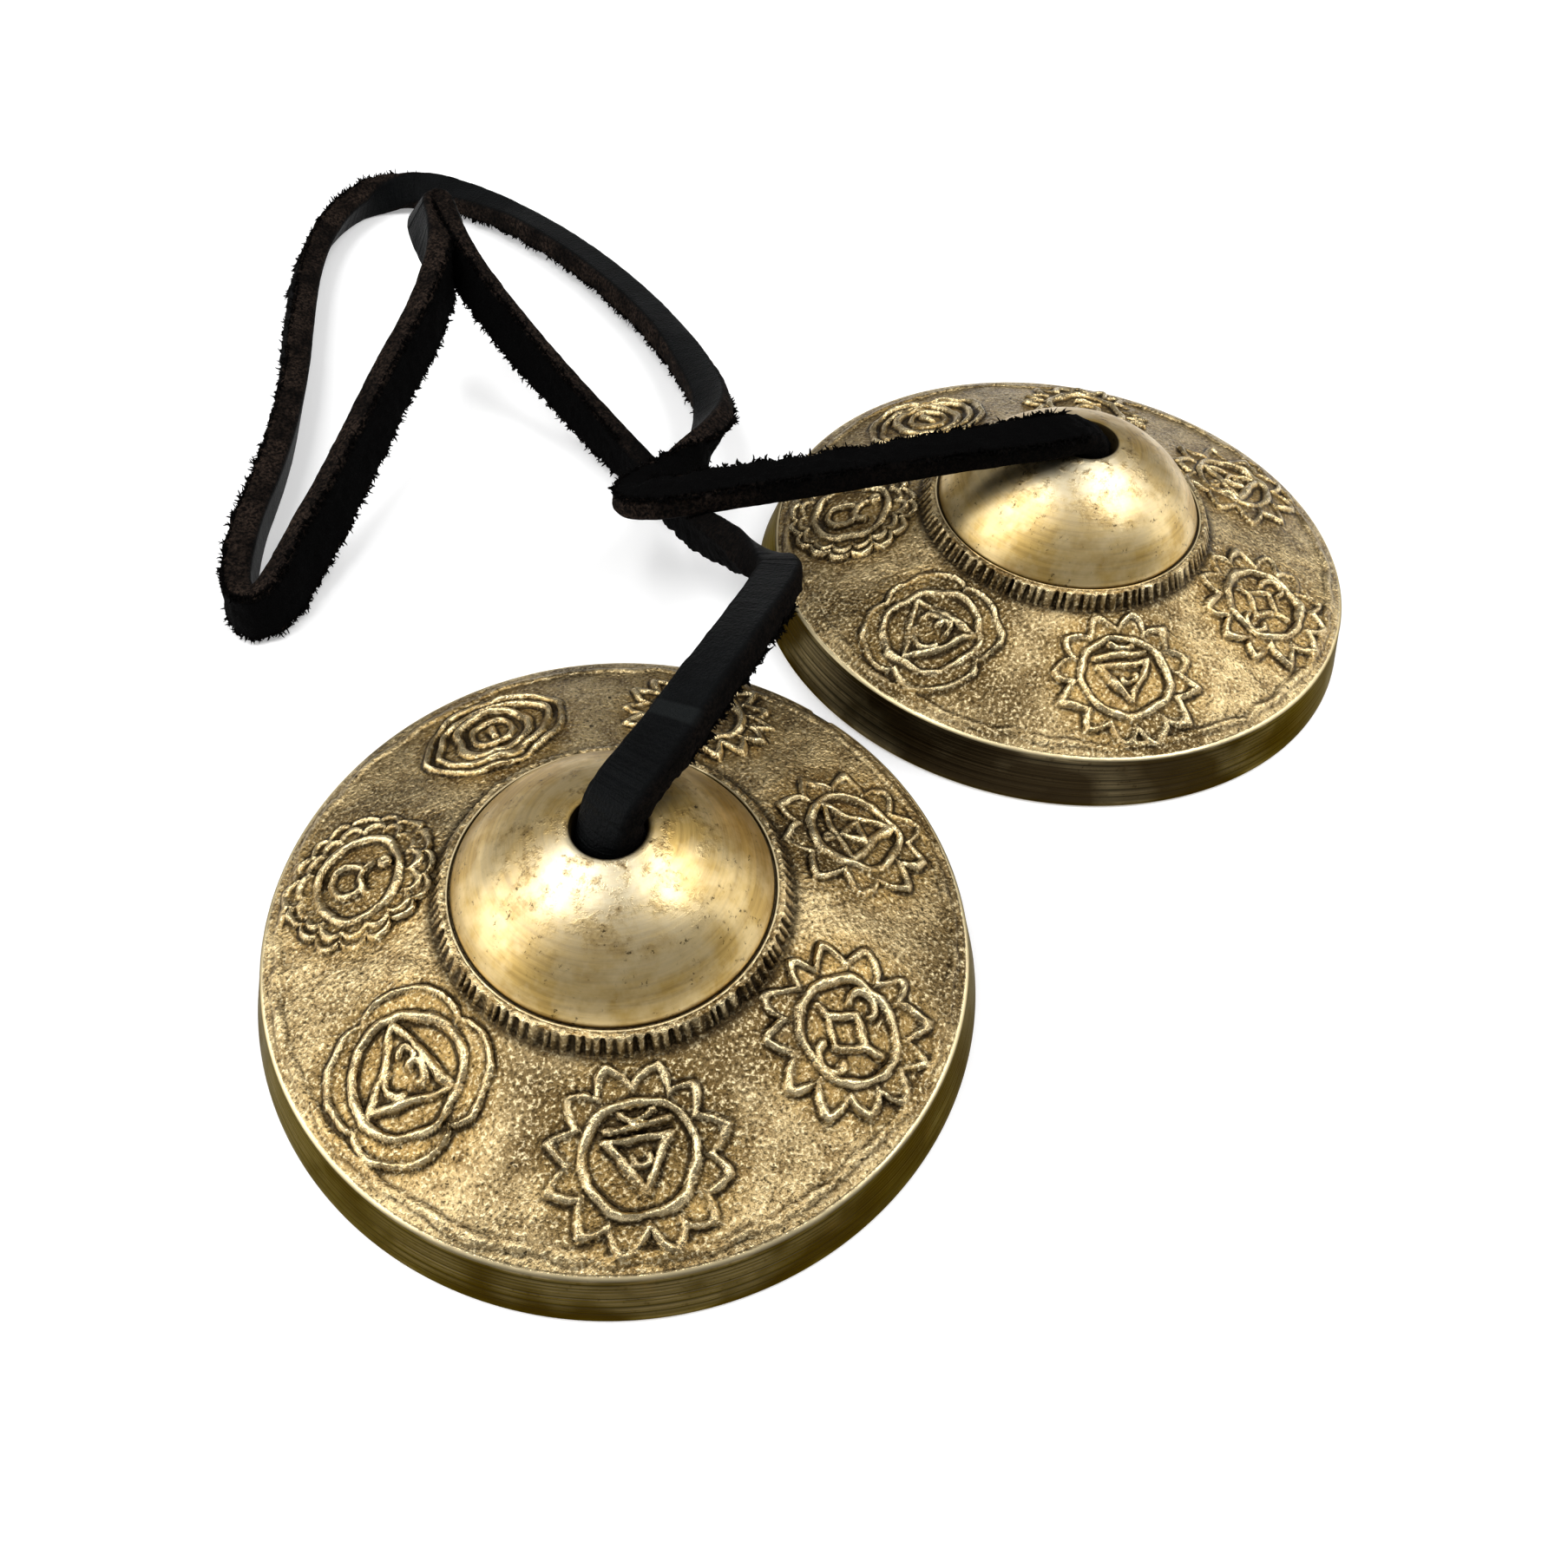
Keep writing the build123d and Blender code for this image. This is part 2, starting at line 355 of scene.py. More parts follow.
def soft_noise(points, cell, seed):
    """Smooth random field between -1 and 1, with one random value at each corner of a grid of cells."""
    lattice = 48
    table = np.random.default_rng(seed).uniform(-1, 1, (lattice,) * 3)
    place = points / cell
    corner = np.floor(place).astype(int)
    share = place - corner
    share = share * share * (3 - 2 * share)
    total = np.zeros(len(points))
    for step in np.ndindex(2, 2, 2):
        weight = np.prod(np.where(step, share, 1 - share), axis=1)
        index = (corner + step) % lattice
        total += weight * table[index[:, 0], index[:, 1], index[:, 2]]
    return total


def turns_round(count):
    """Angles of evenly spaced places round an axis."""
    return np.arange(count) * 2 * pi / count


def make_piece(name, points, faces, materials, face_materials=None, attributes=None, sharp_angle=None):
    """A smooth-shaded mesh object with its outward normals, materials and point attributes."""
    mesh = bpy.data.meshes.new(name)
    mesh.from_pydata(points.tolist(), [], faces)
    for material in materials:
        mesh.materials.append(material)
    if face_materials is not None:
        mesh.polygons.foreach_set("material_index", face_materials)
    for label, values in (attributes or {}).items():
        layer = mesh.attributes.new(label, "FLOAT", "POINT")
        layer.data.foreach_set("value", np.asarray(values, np.float32))
    shape = bmesh.new()
    shape.from_mesh(mesh)
    bmesh.ops.recalc_face_normals(shape, faces=shape.faces)
    shape.to_mesh(mesh)
    shape.free()
    mesh.shade_smooth()
    if sharp_angle is not None:
        mesh.set_sharp_from_angle(angle=radians(sharp_angle))
    piece = bpy.data.objects.new(name, mesh)
    bpy.context.scene.collection.objects.link(piece)
    return piece


def add(tree, kind, inputs, **settings):
    """One shader node with its settings; each input is a value or another node's output.

    The functions below that are given such an output add to the tree that it belongs to."""
    node = tree.nodes.new(kind)
    for name, value in settings.items():
        setattr(node, name, value)
    for key, value in inputs.items():
        if isinstance(value, bpy.types.NodeSocket):
            tree.links.new(value, node.inputs[key])
        else:
            node.inputs[key].default_value = value
    return node


def attribute(tree, name):
    """A point attribute of the mesh as a number."""
    return add(tree, "ShaderNodeAttribute", {}, attribute_name=name).outputs["Fac"]


def place_on(tree):
    """Place on the piece, in metres from its origin."""
    return add(tree, "ShaderNodeTexCoord", {}).outputs["Object"]


def noise(coordinates, size, detail=2.0, roughness=0.5):
    """Noise with features of the given size in metres."""
    inputs = {"Vector": coordinates, "Scale": 1 / size, "Detail": detail, "Roughness": roughness}
    return add(coordinates.id_data, "ShaderNodeTexNoise", inputs).outputs[0]


def line_noise(value, size, detail=2.0):
    """Noise that varies along one number only, for parallel lines."""
    inputs = {"W": value, "Scale": 1 / size, "Detail": detail}
    return add(value.id_data, "ShaderNodeTexNoise", inputs, noise_dimensions="1D").outputs[0]


def remap(value, low, high, to_low=0.0, to_high=1.0):
    """Value stretched from one span to another and held inside it."""
    inputs = {"Value": value, "From Min": low, "From Max": high, "To Min": to_low, "To Max": to_high}
    return add(value.id_data, "ShaderNodeMapRange", inputs).outputs[0]


def reckon(operation, first, second):
    """Two numbers put together."""
    return add(first.id_data, "ShaderNodeMath", {0: first, 1: second}, operation=operation).outputs[0]


def times(first, second):
    """Two numbers multiplied."""
    return reckon("MULTIPLY", first, second)


def vectors(operation, *inputs):
    """The outputs of one operation on vectors."""
    numbered = dict(enumerate(inputs))
    return add(inputs[0].id_data, "ShaderNodeVectorMath", numbered, operation=operation).outputs


def mix(share, first, second):
    """Two colours mixed; share is that of the second."""
    inputs = {0: share, 6: first, 7: second}
    return add(share.id_data, "ShaderNodeMix", inputs, data_type="RGBA").outputs[2]


def tint(colour, other, value, low, high, most=1.0):
    """Colour that turns into another while a value goes from low to high, and at most by that share."""
    return mix(remap(value, low, high, 0, most), colour, other)


def bump(height, depth, strength=1.0, normal=None):
    """Surface normal of a height field whose full range is depth metres."""
    inputs = {"Height": height, "Distance": depth, "Strength": strength}
    if normal is not None:
        inputs["Normal"] = normal
    return add(height.id_data, "ShaderNodeBump", inputs).outputs[0]


def new_material(name):
    """A material with an empty node tree."""
    material = bpy.data.materials.new(name)
    material.use_nodes = True
    material.node_tree.nodes.clear()
    return material, material.node_tree


def surface(colour, rough, normal, **others):
    """The Principled shader and the material's output; other inputs go by name, with _ for a space."""
    inputs = {"Base Color": colour, "Roughness": rough, "Normal": normal}
    inputs |= {name.replace("_", " "): value for name, value in others.items()}
    shader = add(colour.id_data, "ShaderNodeBsdfPrincipled", inputs)
    add(colour.id_data, "ShaderNodeOutputMaterial", {"Surface": shader.outputs[0]})


# Brass. In the materials, the numbers after a pattern are the stretch of its values over which the look
# changes, and then how far it changes.

BRASS_GOLD = (0.53, 0.36, 0.115, 1)
CAST_GOLD = (0.42, 0.276, 0.096, 1)
BRASS_BROWN = (0.165, 0.096, 0.030, 1)
DARK_BROWN = (0.085, 0.052, 0.017, 1)
BRASS_BRIGHT = (0.88, 0.73, 0.43, 1)
BRASS_PALE = (0.78, 0.71, 0.52, 1)
SIDE_BROWN = (0.150, 0.115, 0.060, 1)
OLIVE = (0.028, 0.023, 0.013, 1)
PATINA_AND_SHADE = (0.020, 0.013, 0.006, 1)
SIDE_SHEEN = (0.62, 0.54, 0.34, 1)

# Sizes and depths of the patterns on the cast flange
CAST_MOTTLE = 0.0024
CAST_MOTTLE_DEPTH = 0.0005
CAST_GRAIN = 0.00035
CAST_GRAIN_DEPTH = 0.00018
CAST_CRUMB = 0.0008

# Sizes and depths of the patterns on the turned dome
SCRATCH_SPREAD = 0.0005
FINE_RING = 0.00026
FINE_RING_DEPTH = 0.00002
WIDE_RING = 0.0013
DOME_CLOUD = 0.0042
DOME_BLOTCH = 0.0026
DOME_SPECK = 0.00055
DIRT_DEPTH = 0.00006

# Distances from the hole over which its dirt thins out, and over which the painted pale highlight comes in
DIRTY_STRETCH = (0.005, 0.012)
HIGHLIGHT_STRETCH = (0.013, 0.006)

# Side of each dome where a pale highlight is painted, as a direction from its hole
HIGHLIGHT_SIDE = (-0.87, -0.50, 0)

# Sizes and depths of the patterns on the machined side
SIDE_LINE = 0.00042
SIDE_LINE_DEPTH = 0.00012
SIDE_CLOUD = 0.006
SIDE_SPECK = 0.0005
SIDE_PATCH = 0.011


def cast_brass():
    """Sand-cast flange: fine-grained brown gold, with painted shade round the relief, the relief worn bright
    with a painted highlight, and a painted sheen between the medallions.
    """
    material, tree = new_material("cast_brass")
    place = place_on(tree)
    relief = attribute(tree, "relief")
    mottle = noise(place, CAST_MOTTLE, 5, 0.65)
    grains = noise(place, CAST_GRAIN, 3, 0.6)
    crumbs = noise(place, CAST_CRUMB)
    colour = tint(BRASS_BROWN, CAST_GOLD, mottle, 0.28, 0.58)
    # Painted sheen on the bare ground between the medallions
    ground = times(attribute(tree, "open_ground"), remap(mottle, 0.36, 0.60, 0.1, 0.38))
    colour = mix(ground, colour, BRASS_BRIGHT)
    # Stains, and a darkening toward one side of each cymbal
    colour = tint(colour, DARK_BROWN, attribute(tree, "stains_and_dark_side"), -0.1, 0.8, 0.85)
    colour = tint(colour, BRASS_BRIGHT, grains, 0.53, 0.67, 0.8)
    colour = tint(colour, PATINA_AND_SHADE, grains, 0.46, 0.33, 0.8)
    colour = tint(colour, PATINA_AND_SHADE, crumbs, 0.70, 0.74, 0.9)
    # Relief worn bright, with a painted highlight on it
    wear_and_highlight = times(remap(relief, 0.35, 0.9), remap(mottle, 0.34, 0.60, 0.2, 0.75))
    colour = mix(wear_and_highlight, colour, BRASS_BRIGHT)
    # Painted shade round the relief, at the collar's foot, in its notches, on the ledge and under the cymbal
    colour = tint(colour, PATINA_AND_SHADE, attribute(tree, "painted_shade"), 0.12, 0.7, 0.92)
    grain_height = times(grains, remap(relief, 0.2, 0.7, 1, 0.4))
    normal = bump(grain_height, CAST_GRAIN_DEPTH, 0.9)
    normal = bump(mottle, CAST_MOTTLE_DEPTH, 0.8, normal)
    rough = remap(relief, 0.2, 0.8, 0.32, 0.24)
    surface(colour, rough, normal, Metallic=1.0)
    return material


def turned_brass():
    """Dome polished on a lathe: fine broken rings, with hazy stains and dark pits round the hole, a painted
    pale highlight on one side and painted shade in the hole.
    """
    material, tree = new_material("turned_brass")
    place = place_on(tree)
    flat = vectors("MULTIPLY", place, (1, 1, 0))["Vector"]
    radius = vectors("LENGTH", flat)["Value"]
    direction = vectors("NORMALIZE", flat)["Vector"]
    around = vectors("MULTIPLY", direction, (SCRATCH_SPREAD,) * 3)["Vector"]
    outward = add(tree, "ShaderNodeCombineXYZ", {"Z": radius}).outputs[0]
    ring_place = vectors("ADD", around, outward)["Vector"]
    rings = noise(ring_place, FINE_RING, 4, 0.65)
    wide_rings = noise(ring_place, WIDE_RING, 3)
    cloud = noise(place, DOME_CLOUD, 4, 0.6)
    blotch = noise(place, DOME_BLOTCH, 5, 0.7)
    specks = noise(place, DOME_SPECK, 3, 0.7)
    near_hole = remap(radius, *DIRTY_STRETCH, 1, 0.1)
    dirt_and_shade = times(near_hole, remap(blotch, 0.50, 0.60))
    pits = times(remap(specks, 0.60, 0.66), remap(blotch, 0.50, 0.58))
    # Painted pale highlight on one side of the dome, near the hole
    facing = vectors("DOT_PRODUCT", direction, HIGHLIGHT_SIDE)["Value"]
    wear_and_highlight = times(remap(facing, 0.1, 0.9), remap(radius, *HIGHLIGHT_STRETCH))
    wear_and_highlight = times(wear_and_highlight, remap(blotch, 0.40, 0.62, 0.85, 0.35))
    colour = tint(BRASS_GOLD, BRASS_BROWN, rings, 0.40, 0.66, 0.4)
    colour = tint(colour, BRASS_BRIGHT, cloud, 0.44, 0.62, 0.40)
    colour = mix(wear_and_highlight, colour, BRASS_PALE)
    colour = tint(colour, BRASS_BROWN, wide_rings, 0.52, 0.70, 0.2)
    caked = times(dirt_and_shade, remap(specks, 0.36, 0.56, 0, 0.75))
    colour = mix(caked, colour, BRASS_BROWN)
    colour = mix(times(pits, 0.85), colour, PATINA_AND_SHADE)
    # Painted shade in the hole and inside the dome
    painted_shade = attribute(tree, "painted_shade")
    colour = tint(colour, PATINA_AND_SHADE, painted_shade, 0.1, 0.8, 0.95)
    normal = bump(rings, FINE_RING_DEPTH, 0.4)
    normal = bump(dirt_and_shade, DIRT_DEPTH, 0.4, normal)
    polish = remap(cloud, 0.3, 0.7, 0.42, 0.32)
    rough = reckon("MAXIMUM", polish, remap(painted_shade, 0.5, 1, 0, 0.9))
    surface(colour, rough, normal, Metallic=1.0)
    return material


def machined_brass():
    """Turned side of the rim: fine level lines under uneven dark olive patina, with its edges and the lip
    worn bright with a painted highlight.
    """
    material, tree = new_material("machined_brass")
    place = place_on(tree)
    height = add(tree, "ShaderNodeSeparateXYZ", {0: place}).outputs["Z"]
    lines = line_noise(height, SIDE_LINE, 3)
    cloud = noise(place, SIDE_CLOUD, 4, 0.6)
    specks = noise(place, SIDE_SPECK, 3, 0.6)
    patches = noise(place, SIDE_PATCH, 3)
    streaked = reckon("ADD", patches, times(lines, 0.35))
    colour = tint(OLIVE, SIDE_BROWN, lines, 0.38, 0.66)
    colour = tint(colour, BRASS_BROWN, cloud, 0.58, 0.72, 0.5)
    colour = tint(colour, PATINA_AND_SHADE, streaked, 0.66, 0.74, 0.85)
    # Stains, and a darkening toward one side of each cymbal
    colour = tint(colour, PATINA_AND_SHADE, attribute(tree, "stains_and_dark_side"), 0.2, 0.6, 0.9)
    colour = tint(colour, PATINA_AND_SHADE, specks, 0.58, 0.72, 0.6)
    # Edges and lip worn bright, with a painted highlight on them
    colour = tint(colour, BRASS_BRIGHT, attribute(tree, "relief"), 0.3, 0.9, 0.9)
    normal = bump(lines, SIDE_LINE_DEPTH, 0.8)
    rough = remap(cloud, 0.3, 0.7, 0.32, 0.46)
    surface(colour, rough, normal, Metallic=1.0, Specular_Tint=SIDE_SHEEN)
    return material


# Leather

LEATHER_BLACK = (0.0010, 0.0012, 0.0013, 1)
LEATHER_GREY = (0.0026, 0.0032, 0.0035, 1)
LEATHER_WORN = (0.012, 0.014, 0.014, 1)
SUEDE_BLACK = (0.0016, 0.0015, 0.0015, 1)
SUEDE_BROWN = (0.040, 0.0272, 0.0205, 1)

# Sizes and depth of the patterns on the leather
SUEDE_TUFT = 0.00042
LEATHER_CLOUD = 0.0045
LEATHER_CREASE = 0.0012
LEATHER_PORE = 0.00032
LEATHER_DEPTH = 0.0006

# Stretch of the thong's length over which its brown edges give way to the black right end
BLACK_END = (0.445, 0.465)

# Stretch over which the black left end gives way to brown edges
BLACK_START = (0.085, 0.100)

# Mark of an old fold in the left end: its place along the thong, and the stretch over which it fades
FOLD_MARK = 0.0145
FOLD_FADE = (0.0010, 0.0007)


def black_leather():
    """Thong leather: satin black on the smooth face, rough brown-black suede on the cut edges."""
    material, tree = new_material("black_leather")
    place = place_on(tree)
    smooth = attribute(tree, "smooth_face")
    edge = attribute(tree, "cut_edge")
    along = attribute(tree, "along")
    suede = noise(place, SUEDE_TUFT, 4, 0.7)
    cloud = noise(place, LEATHER_CLOUD, 3, 0.6)
    creases = line_noise(along, LEATHER_CREASE, 4)
    pores = noise(place, LEATHER_PORE, 3, 0.6)
    worn = times(remap(edge, 0.3, 0.9), remap(cloud, 0.36, 0.60, 0.25, 1))
    worn = times(worn, remap(along, *BLACK_END, 1, 0.15))
    worn = times(worn, remap(along, *BLACK_START, 0.2, 1))
    tufts = remap(suede, 0.43, 0.61, 0.05, 1)
    rough_colour = mix(times(worn, tufts), SUEDE_BLACK, SUEDE_BROWN)
    smooth_colour = tint(LEATHER_BLACK, LEATHER_GREY, cloud, 0.35, 0.7)
    off_mark = reckon("ABSOLUTE", reckon("SUBTRACT", along, FOLD_MARK), 0)
    smooth_colour = tint(smooth_colour, LEATHER_WORN, off_mark, *FOLD_FADE, 0.5)
    colour = mix(smooth, rough_colour, smooth_colour)
    rough = remap(smooth, 0, 1, 1.0, 0.48)
    shine = remap(smooth, 0, 1, 0.03, 0.05)
    suede_height = times(suede, remap(smooth, 0, 1, 1, 0))
    crease_height = times(creases, remap(attribute(tree, "bend"), 0.1, 0.6, 0.5, 3.5))
    smooth_height = reckon("ADD", crease_height, pores)
    smooth_height = times(smooth_height, remap(smooth, 0, 1, 0, 0.4))
    normal = bump(reckon("ADD", suede_height, smooth_height), LEATHER_DEPTH, 0.9)
    surface(colour, rough, normal, Specular_IOR_Level=shine)
    return material


# Relief of the seven medallions. Each is drawn in millimetres on the flange's face: across runs
# anticlockwise and up runs to the hole.


def ridge(distance, half_width):
    """Rounded ridge, 1 high, from the distance to its line."""
    return np.clip(1 - (distance / half_width) ** 2, 0, 1)


def to_line(across, up, start, end):
    """Distance to a straight stroke."""
    run = np.subtract(end, start)
    share = ((across - start[0]) * run[0] + (up - start[1]) * run[1]) / (run @ run)
    share = np.clip(share, 0, 1)
    return np.hypot(across - start[0] - share * run[0], up - start[1] - share * run[1])


def to_arc(across, up, centre, radius, first, last):
    """Distance to an arc between two angles in degrees, anticlockwise from across."""
    middle = radians((first + last) / 2)
    half = radians((last - first) / 2)
    angle = np.arctan2(up - centre[1], across - centre[0]) - middle
    angle = np.clip((angle + pi) % (2 * pi) - pi, -half, half) + middle
    return np.hypot(across - centre[0] - radius * np.cos(angle), up - centre[1] - radius * np.sin(angle))


def polygon(count, radius, first):
    """Strokes of a regular polygon with its first corner at an angle in degrees."""
    angles = [radians(first + 360 * step / count) for step in range(count + 1)]
    corners = [(radius * cos(angle), radius * sin(angle)) for angle in angles]
    return list(zip(corners, corners[1:]))


def pointed_oval(half_length, half_height):
    """Two arcs that meet in points at both ends of the across axis."""
    drop = (half_length**2 - half_height**2) / (2 * half_height)
    radius = hypot(half_length, drop)
    rise = np.degrees(atan2(drop, half_length))
    return [((0, -drop), radius, rise, 180 - rise), ((0, drop), radius, 180 + rise, 360 - rise)]


# For each medallion: radius of its ring, its rows of petals (count, inner radius, tip radius, and roundness
# from 1 for points to 2 for half rounds) and the strokes of the plain motif inside
MEDALLIONS = [
    {
        "ring": 4.6,
        "petals": [(16, 5.5, 7.5, 1.15)],
        "lines": [((-1.6, -2.2), (1.6, -2.2))],
        "arcs": [((0, 0.4), 1.5, 150, 390), ((0, 2.6), 0.4, 0, 360)],
    },
    {
        "ring": 3.9,
        "petals": [],
        "lines": [((0, -1.0), (0, 1.0))],
        "arcs": pointed_oval(7.8, 6.0) + pointed_oval(6.3, 4.7) + [((0, 0), 2.2, 0, 360)],
    },
    {
        "ring": 4.5,
        "petals": [(15, 5.3, 6.3, 2.0), (16, 6.5, 7.5, 2.0)],
        "lines": [],
        "arcs": [((0.3, -1.1), 1.7, 140, 420), ((0.2, 1.7), 1.5, 190, 350), ((-1.5, 2.6), 0.4, 0, 360)],
    },
    {
        "ring": 5.1,
        "petals": [(4, 5.9, 7.5, 2.0)],
        "lines": polygon(3, 4.5, 30),
        "arcs": [((-0.75, 0.9), 0.85, 0, 200), ((0.75, 0.9), 0.85, -20, 180), ((0, -0.5), 1.5, 200, 340)],
    },
    {
        "ring": 4.7,
        "petals": [(12, 5.7, 7.7, 1.15)],
        "lines": polygon(3, 3.1, 30) + [((-2.6, 2.5), (2.4, 2.8))],
        "arcs": [((0, 0.1), 0.9, 180, 360), ((0, 4.6), 1.4, 215, 325)],
    },
    {
        "ring": 4.6,
        "petals": [(12, 5.6, 7.7, 1.15)],
        "lines": polygon(4, 2.0, 0) + [((0, 2.0), (0, 3.4)), ((0, -2.0), (0, -3.4))],
        "arcs": [((-2.9, 0), 1.3, 70, 290), ((2.9, 0), 1.3, -110, 110)],
    },
    {
        "ring": 4.5,
        "petals": [(10, 5.5, 7.6, 1.15)],
        "lines": polygon(3, 4.0, 30) + polygon(3, 1.5, 90),
        "arcs": [((0, 3.1), 0.4, 0, 360)],
    },
]


def petal_row(distance, angle, count, inner, tip, roundness):
    """Distance to the outline of a row of petals, and how far inside that outline a place lies."""
    share = np.abs((angle * count / (2 * pi)) % 1 * 2 - 1)
    outline = inner + (tip - inner) * (1 - share**roundness) ** (1 / roundness)
    steepness = (tip - inner) * count / pi / inner / roundness
    return np.abs(distance - outline) / hypot(1, steepness), outline - distance


def medallion_height(across, up, design):
    """Height of one medallion above the flange."""
    distance = np.hypot(across, up)
    angle = np.arctan2(up, across)
    height = RING_HEIGHT * ridge(np.abs(distance - design["ring"]), RING_HALF_WIDTH)
    for count, inner, tip, roundness in design["petals"]:
        to_outline, inside = petal_row(distance, angle, count, inner, tip, roundness)
        height = np.maximum(height, PETAL_HEIGHT * ridge(to_outline, PETAL_HALF_WIDTH))
        plate = PLATE_HEIGHT * np.clip(inside / PETAL_HALF_WIDTH, 0, 1) * (distance > design["ring"])
        height = np.maximum(height, plate)
    strokes = [to_line(across, up, *stroke) for stroke in design["lines"]]
    strokes += [to_arc(across, up, *stroke) for stroke in design["arcs"]]
    nearest = np.minimum.reduce(strokes)
    return np.maximum(height, MOTIF_HEIGHT * ridge(nearest, MOTIF_HALF_WIDTH))


# Cymbal

rim_radius = bottom_radius - RIM_FLARE
collar_foot = RIM_HEIGHT + FLANGE_RISE
collar_top = collar_foot + COLLAR_HEIGHT
ledge_outer = COLLAR_RADIUS - COLLAR_LEAN
ledge_inner = ledge_outer - LEDGE_WIDTH
flange_tilt = atan2(FLANGE_RISE, rim_radius - COLLAR_RADIUS)
dome_centre = (HOLE_RADIUS**2 + hole_top**2 - ledge_inner**2 - collar_top**2) / (2 * (hole_top - collar_top))
dome_radius = hypot(ledge_inner, collar_top - dome_centre)
hollow_radius = dome_radius - DOME_WALL
hole_bottom = dome_centre + sqrt(hollow_radius**2 - HOLE_RADIUS**2)

# Places of the three kinds of brass in a cymbal's list of materials
TURNED, CAST, MACHINED = range(3)


def flange_top(radius):
    """Height of the flange's plain upper face at a radius."""
    return RIM_HEIGHT + (rim_radius - radius) * FLANGE_RISE / (rim_radius - COLLAR_RADIUS)


def flange_relief(radius, turn, seed):
    """Heights of the casting's pattern and of its unevenness, at a grid of polar places on the flange."""
    places = np.stack([radius * np.cos(turn), radius * np.sin(turn), np.zeros_like(radius)], -1)

    def field(cell, shift):
        return soft_noise(places.reshape(-1, 3), cell, seed + shift).reshape(radius.shape)

    wobble_across = WOBBLE * (field(WOBBLE_CELL, 0) + 0.2 * field(WOBBLE_CELL / 3, 9))
    wobble_up = WOBBLE * (field(WOBBLE_CELL, 1) + 0.2 * field(WOBBLE_CELL / 3, 10))
    wear = WEAR_MEAN + WEAR_SPREAD * field(WEAR_CELL, 2)
    height = BORDER_HEIGHT * ridge(np.abs(radius - BORDER_RADIUS + wobble_up), BORDER_HALF_WIDTH)
    for index, design in enumerate(MEDALLIONS):
        middle = radians(FIRST_MEDALLION_ANGLE + 360 * index / len(MEDALLIONS))
        across = radius * np.sin(turn - middle)
        up = (MEDALLION_CIRCLE - radius * np.cos(turn - middle)) / cos(flange_tilt)
        near = np.hypot(across, up) < MEDALLION_REACH
        drawn = medallion_height(across[near] + wobble_across[near], up[near] + wobble_up[near], design)
        height[near] = np.maximum(height[near], drawn)
    grains = field(GRAIN_CELL, 3) + 0.7 * field(GRAIN_CELL / 2, 4)
    away = np.clip(np.minimum(radius - COLLAR_RADIUS, rim_radius - radius) / SWELL_FADE, 0, 1)
    swell = field(SWELL_CELL, 11) * away
    return height * wear, grains * GRAIN_HEIGHT + swell * SWELL_HEIGHT


def open_ground(points):
    """1 on the flange between the medallions, 0 on them and close to them."""
    turns = radians(FIRST_MEDALLION_ANGLE) + turns_round(len(MEDALLIONS))
    centres = MEDALLION_CIRCLE * np.column_stack([np.cos(turns), np.sin(turns)])
    gaps = np.linalg.norm(points[:, None, :2] - centres, axis=2).min(axis=1)
    return np.clip((gaps - GROUND_START) / GROUND_FADE, 0, 1)


def blurred(grid, reach):
    """Grid smoothed by a box that reaches so many places each way, wrapping round the cymbal."""
    total = np.zeros_like(grid)
    for shift in range(-reach, reach + 1):
        total += np.roll(grid, shift, axis=1)
    total /= 2 * reach + 1
    padded = np.pad(total, ((reach, reach), (0, 0)), mode="edge")
    layers = [padded[start : start + len(grid)] for start in range(2 * reach + 1)]
    return np.mean(layers, axis=0)


def ring_points(radius, height, count):
    """One closed ring of points about the cymbal's axis; radius and height may vary round it."""
    turn = turns_round(count)
    return np.column_stack([radius * np.cos(turn), radius * np.sin(turn), np.broadcast_to(height, count)])


def ring(radius, height, count, material, relief=0.0, painted_shade=0.0):
    """A ring of the cymbal: its points, its material, how far it is worn bright with a painted highlight, and
    how far painted shade darkens it.
    """
    points = ring_points(radius, height, count)
    return points, material, np.broadcast_to(relief, count), np.broadcast_to(painted_shade, count)


def bridge(first, second, first_count, second_count):
    """Faces between two rings, given their first point numbers; counts are equal or one divides the other."""
    faces = []
    count = min(first_count, second_count)
    fine = first_count // count
    other_fine = second_count // count
    for step in range(count):
        here = [first + (step * fine + k) % first_count for k in range(fine + 1)]
        there = [second + (step * other_fine + k) % second_count for k in range(other_fine + 1)]
        faces.append(here + there[::-1])
    return faces


def round_rings(radius, first, last, count, steps, material, painted_shade=0.0):
    """Rings on a ball about the dome's centre, between two angles from the axis."""
    for angle in np.linspace(first, last, count):
        yield ring(radius * sin(angle), dome_centre + radius * cos(angle), steps, material, painted_shade=painted_shade)


def dome_rings():
    """The hole's wall and its bevel, darkened by painted shade, and the dome."""
    yield ring(HOLE_RADIUS, hole_bottom, BACK_STEPS, TURNED, painted_shade=1)
    yield ring(HOLE_RADIUS, hole_top - 2 * HOLE_BEVEL, BACK_STEPS, TURNED, painted_shade=1)
    yield ring(HOLE_RADIUS + HOLE_EASE, hole_top - HOLE_BEVEL, DOME_STEPS, TURNED, painted_shade=1)
    yield ring(HOLE_RADIUS + HOLE_BEVEL / 3, hole_top - HOLE_BEVEL / 3, DOME_STEPS, TURNED, painted_shade=0.8)
    first = asin((HOLE_RADIUS + HOLE_BEVEL) / dome_radius)
    last = asin((ledge_inner - GROOVE_DEPTH / 2) / dome_radius)
    yield from round_rings(dome_radius, first, last, DOME_RINGS, DOME_STEPS, TURNED)


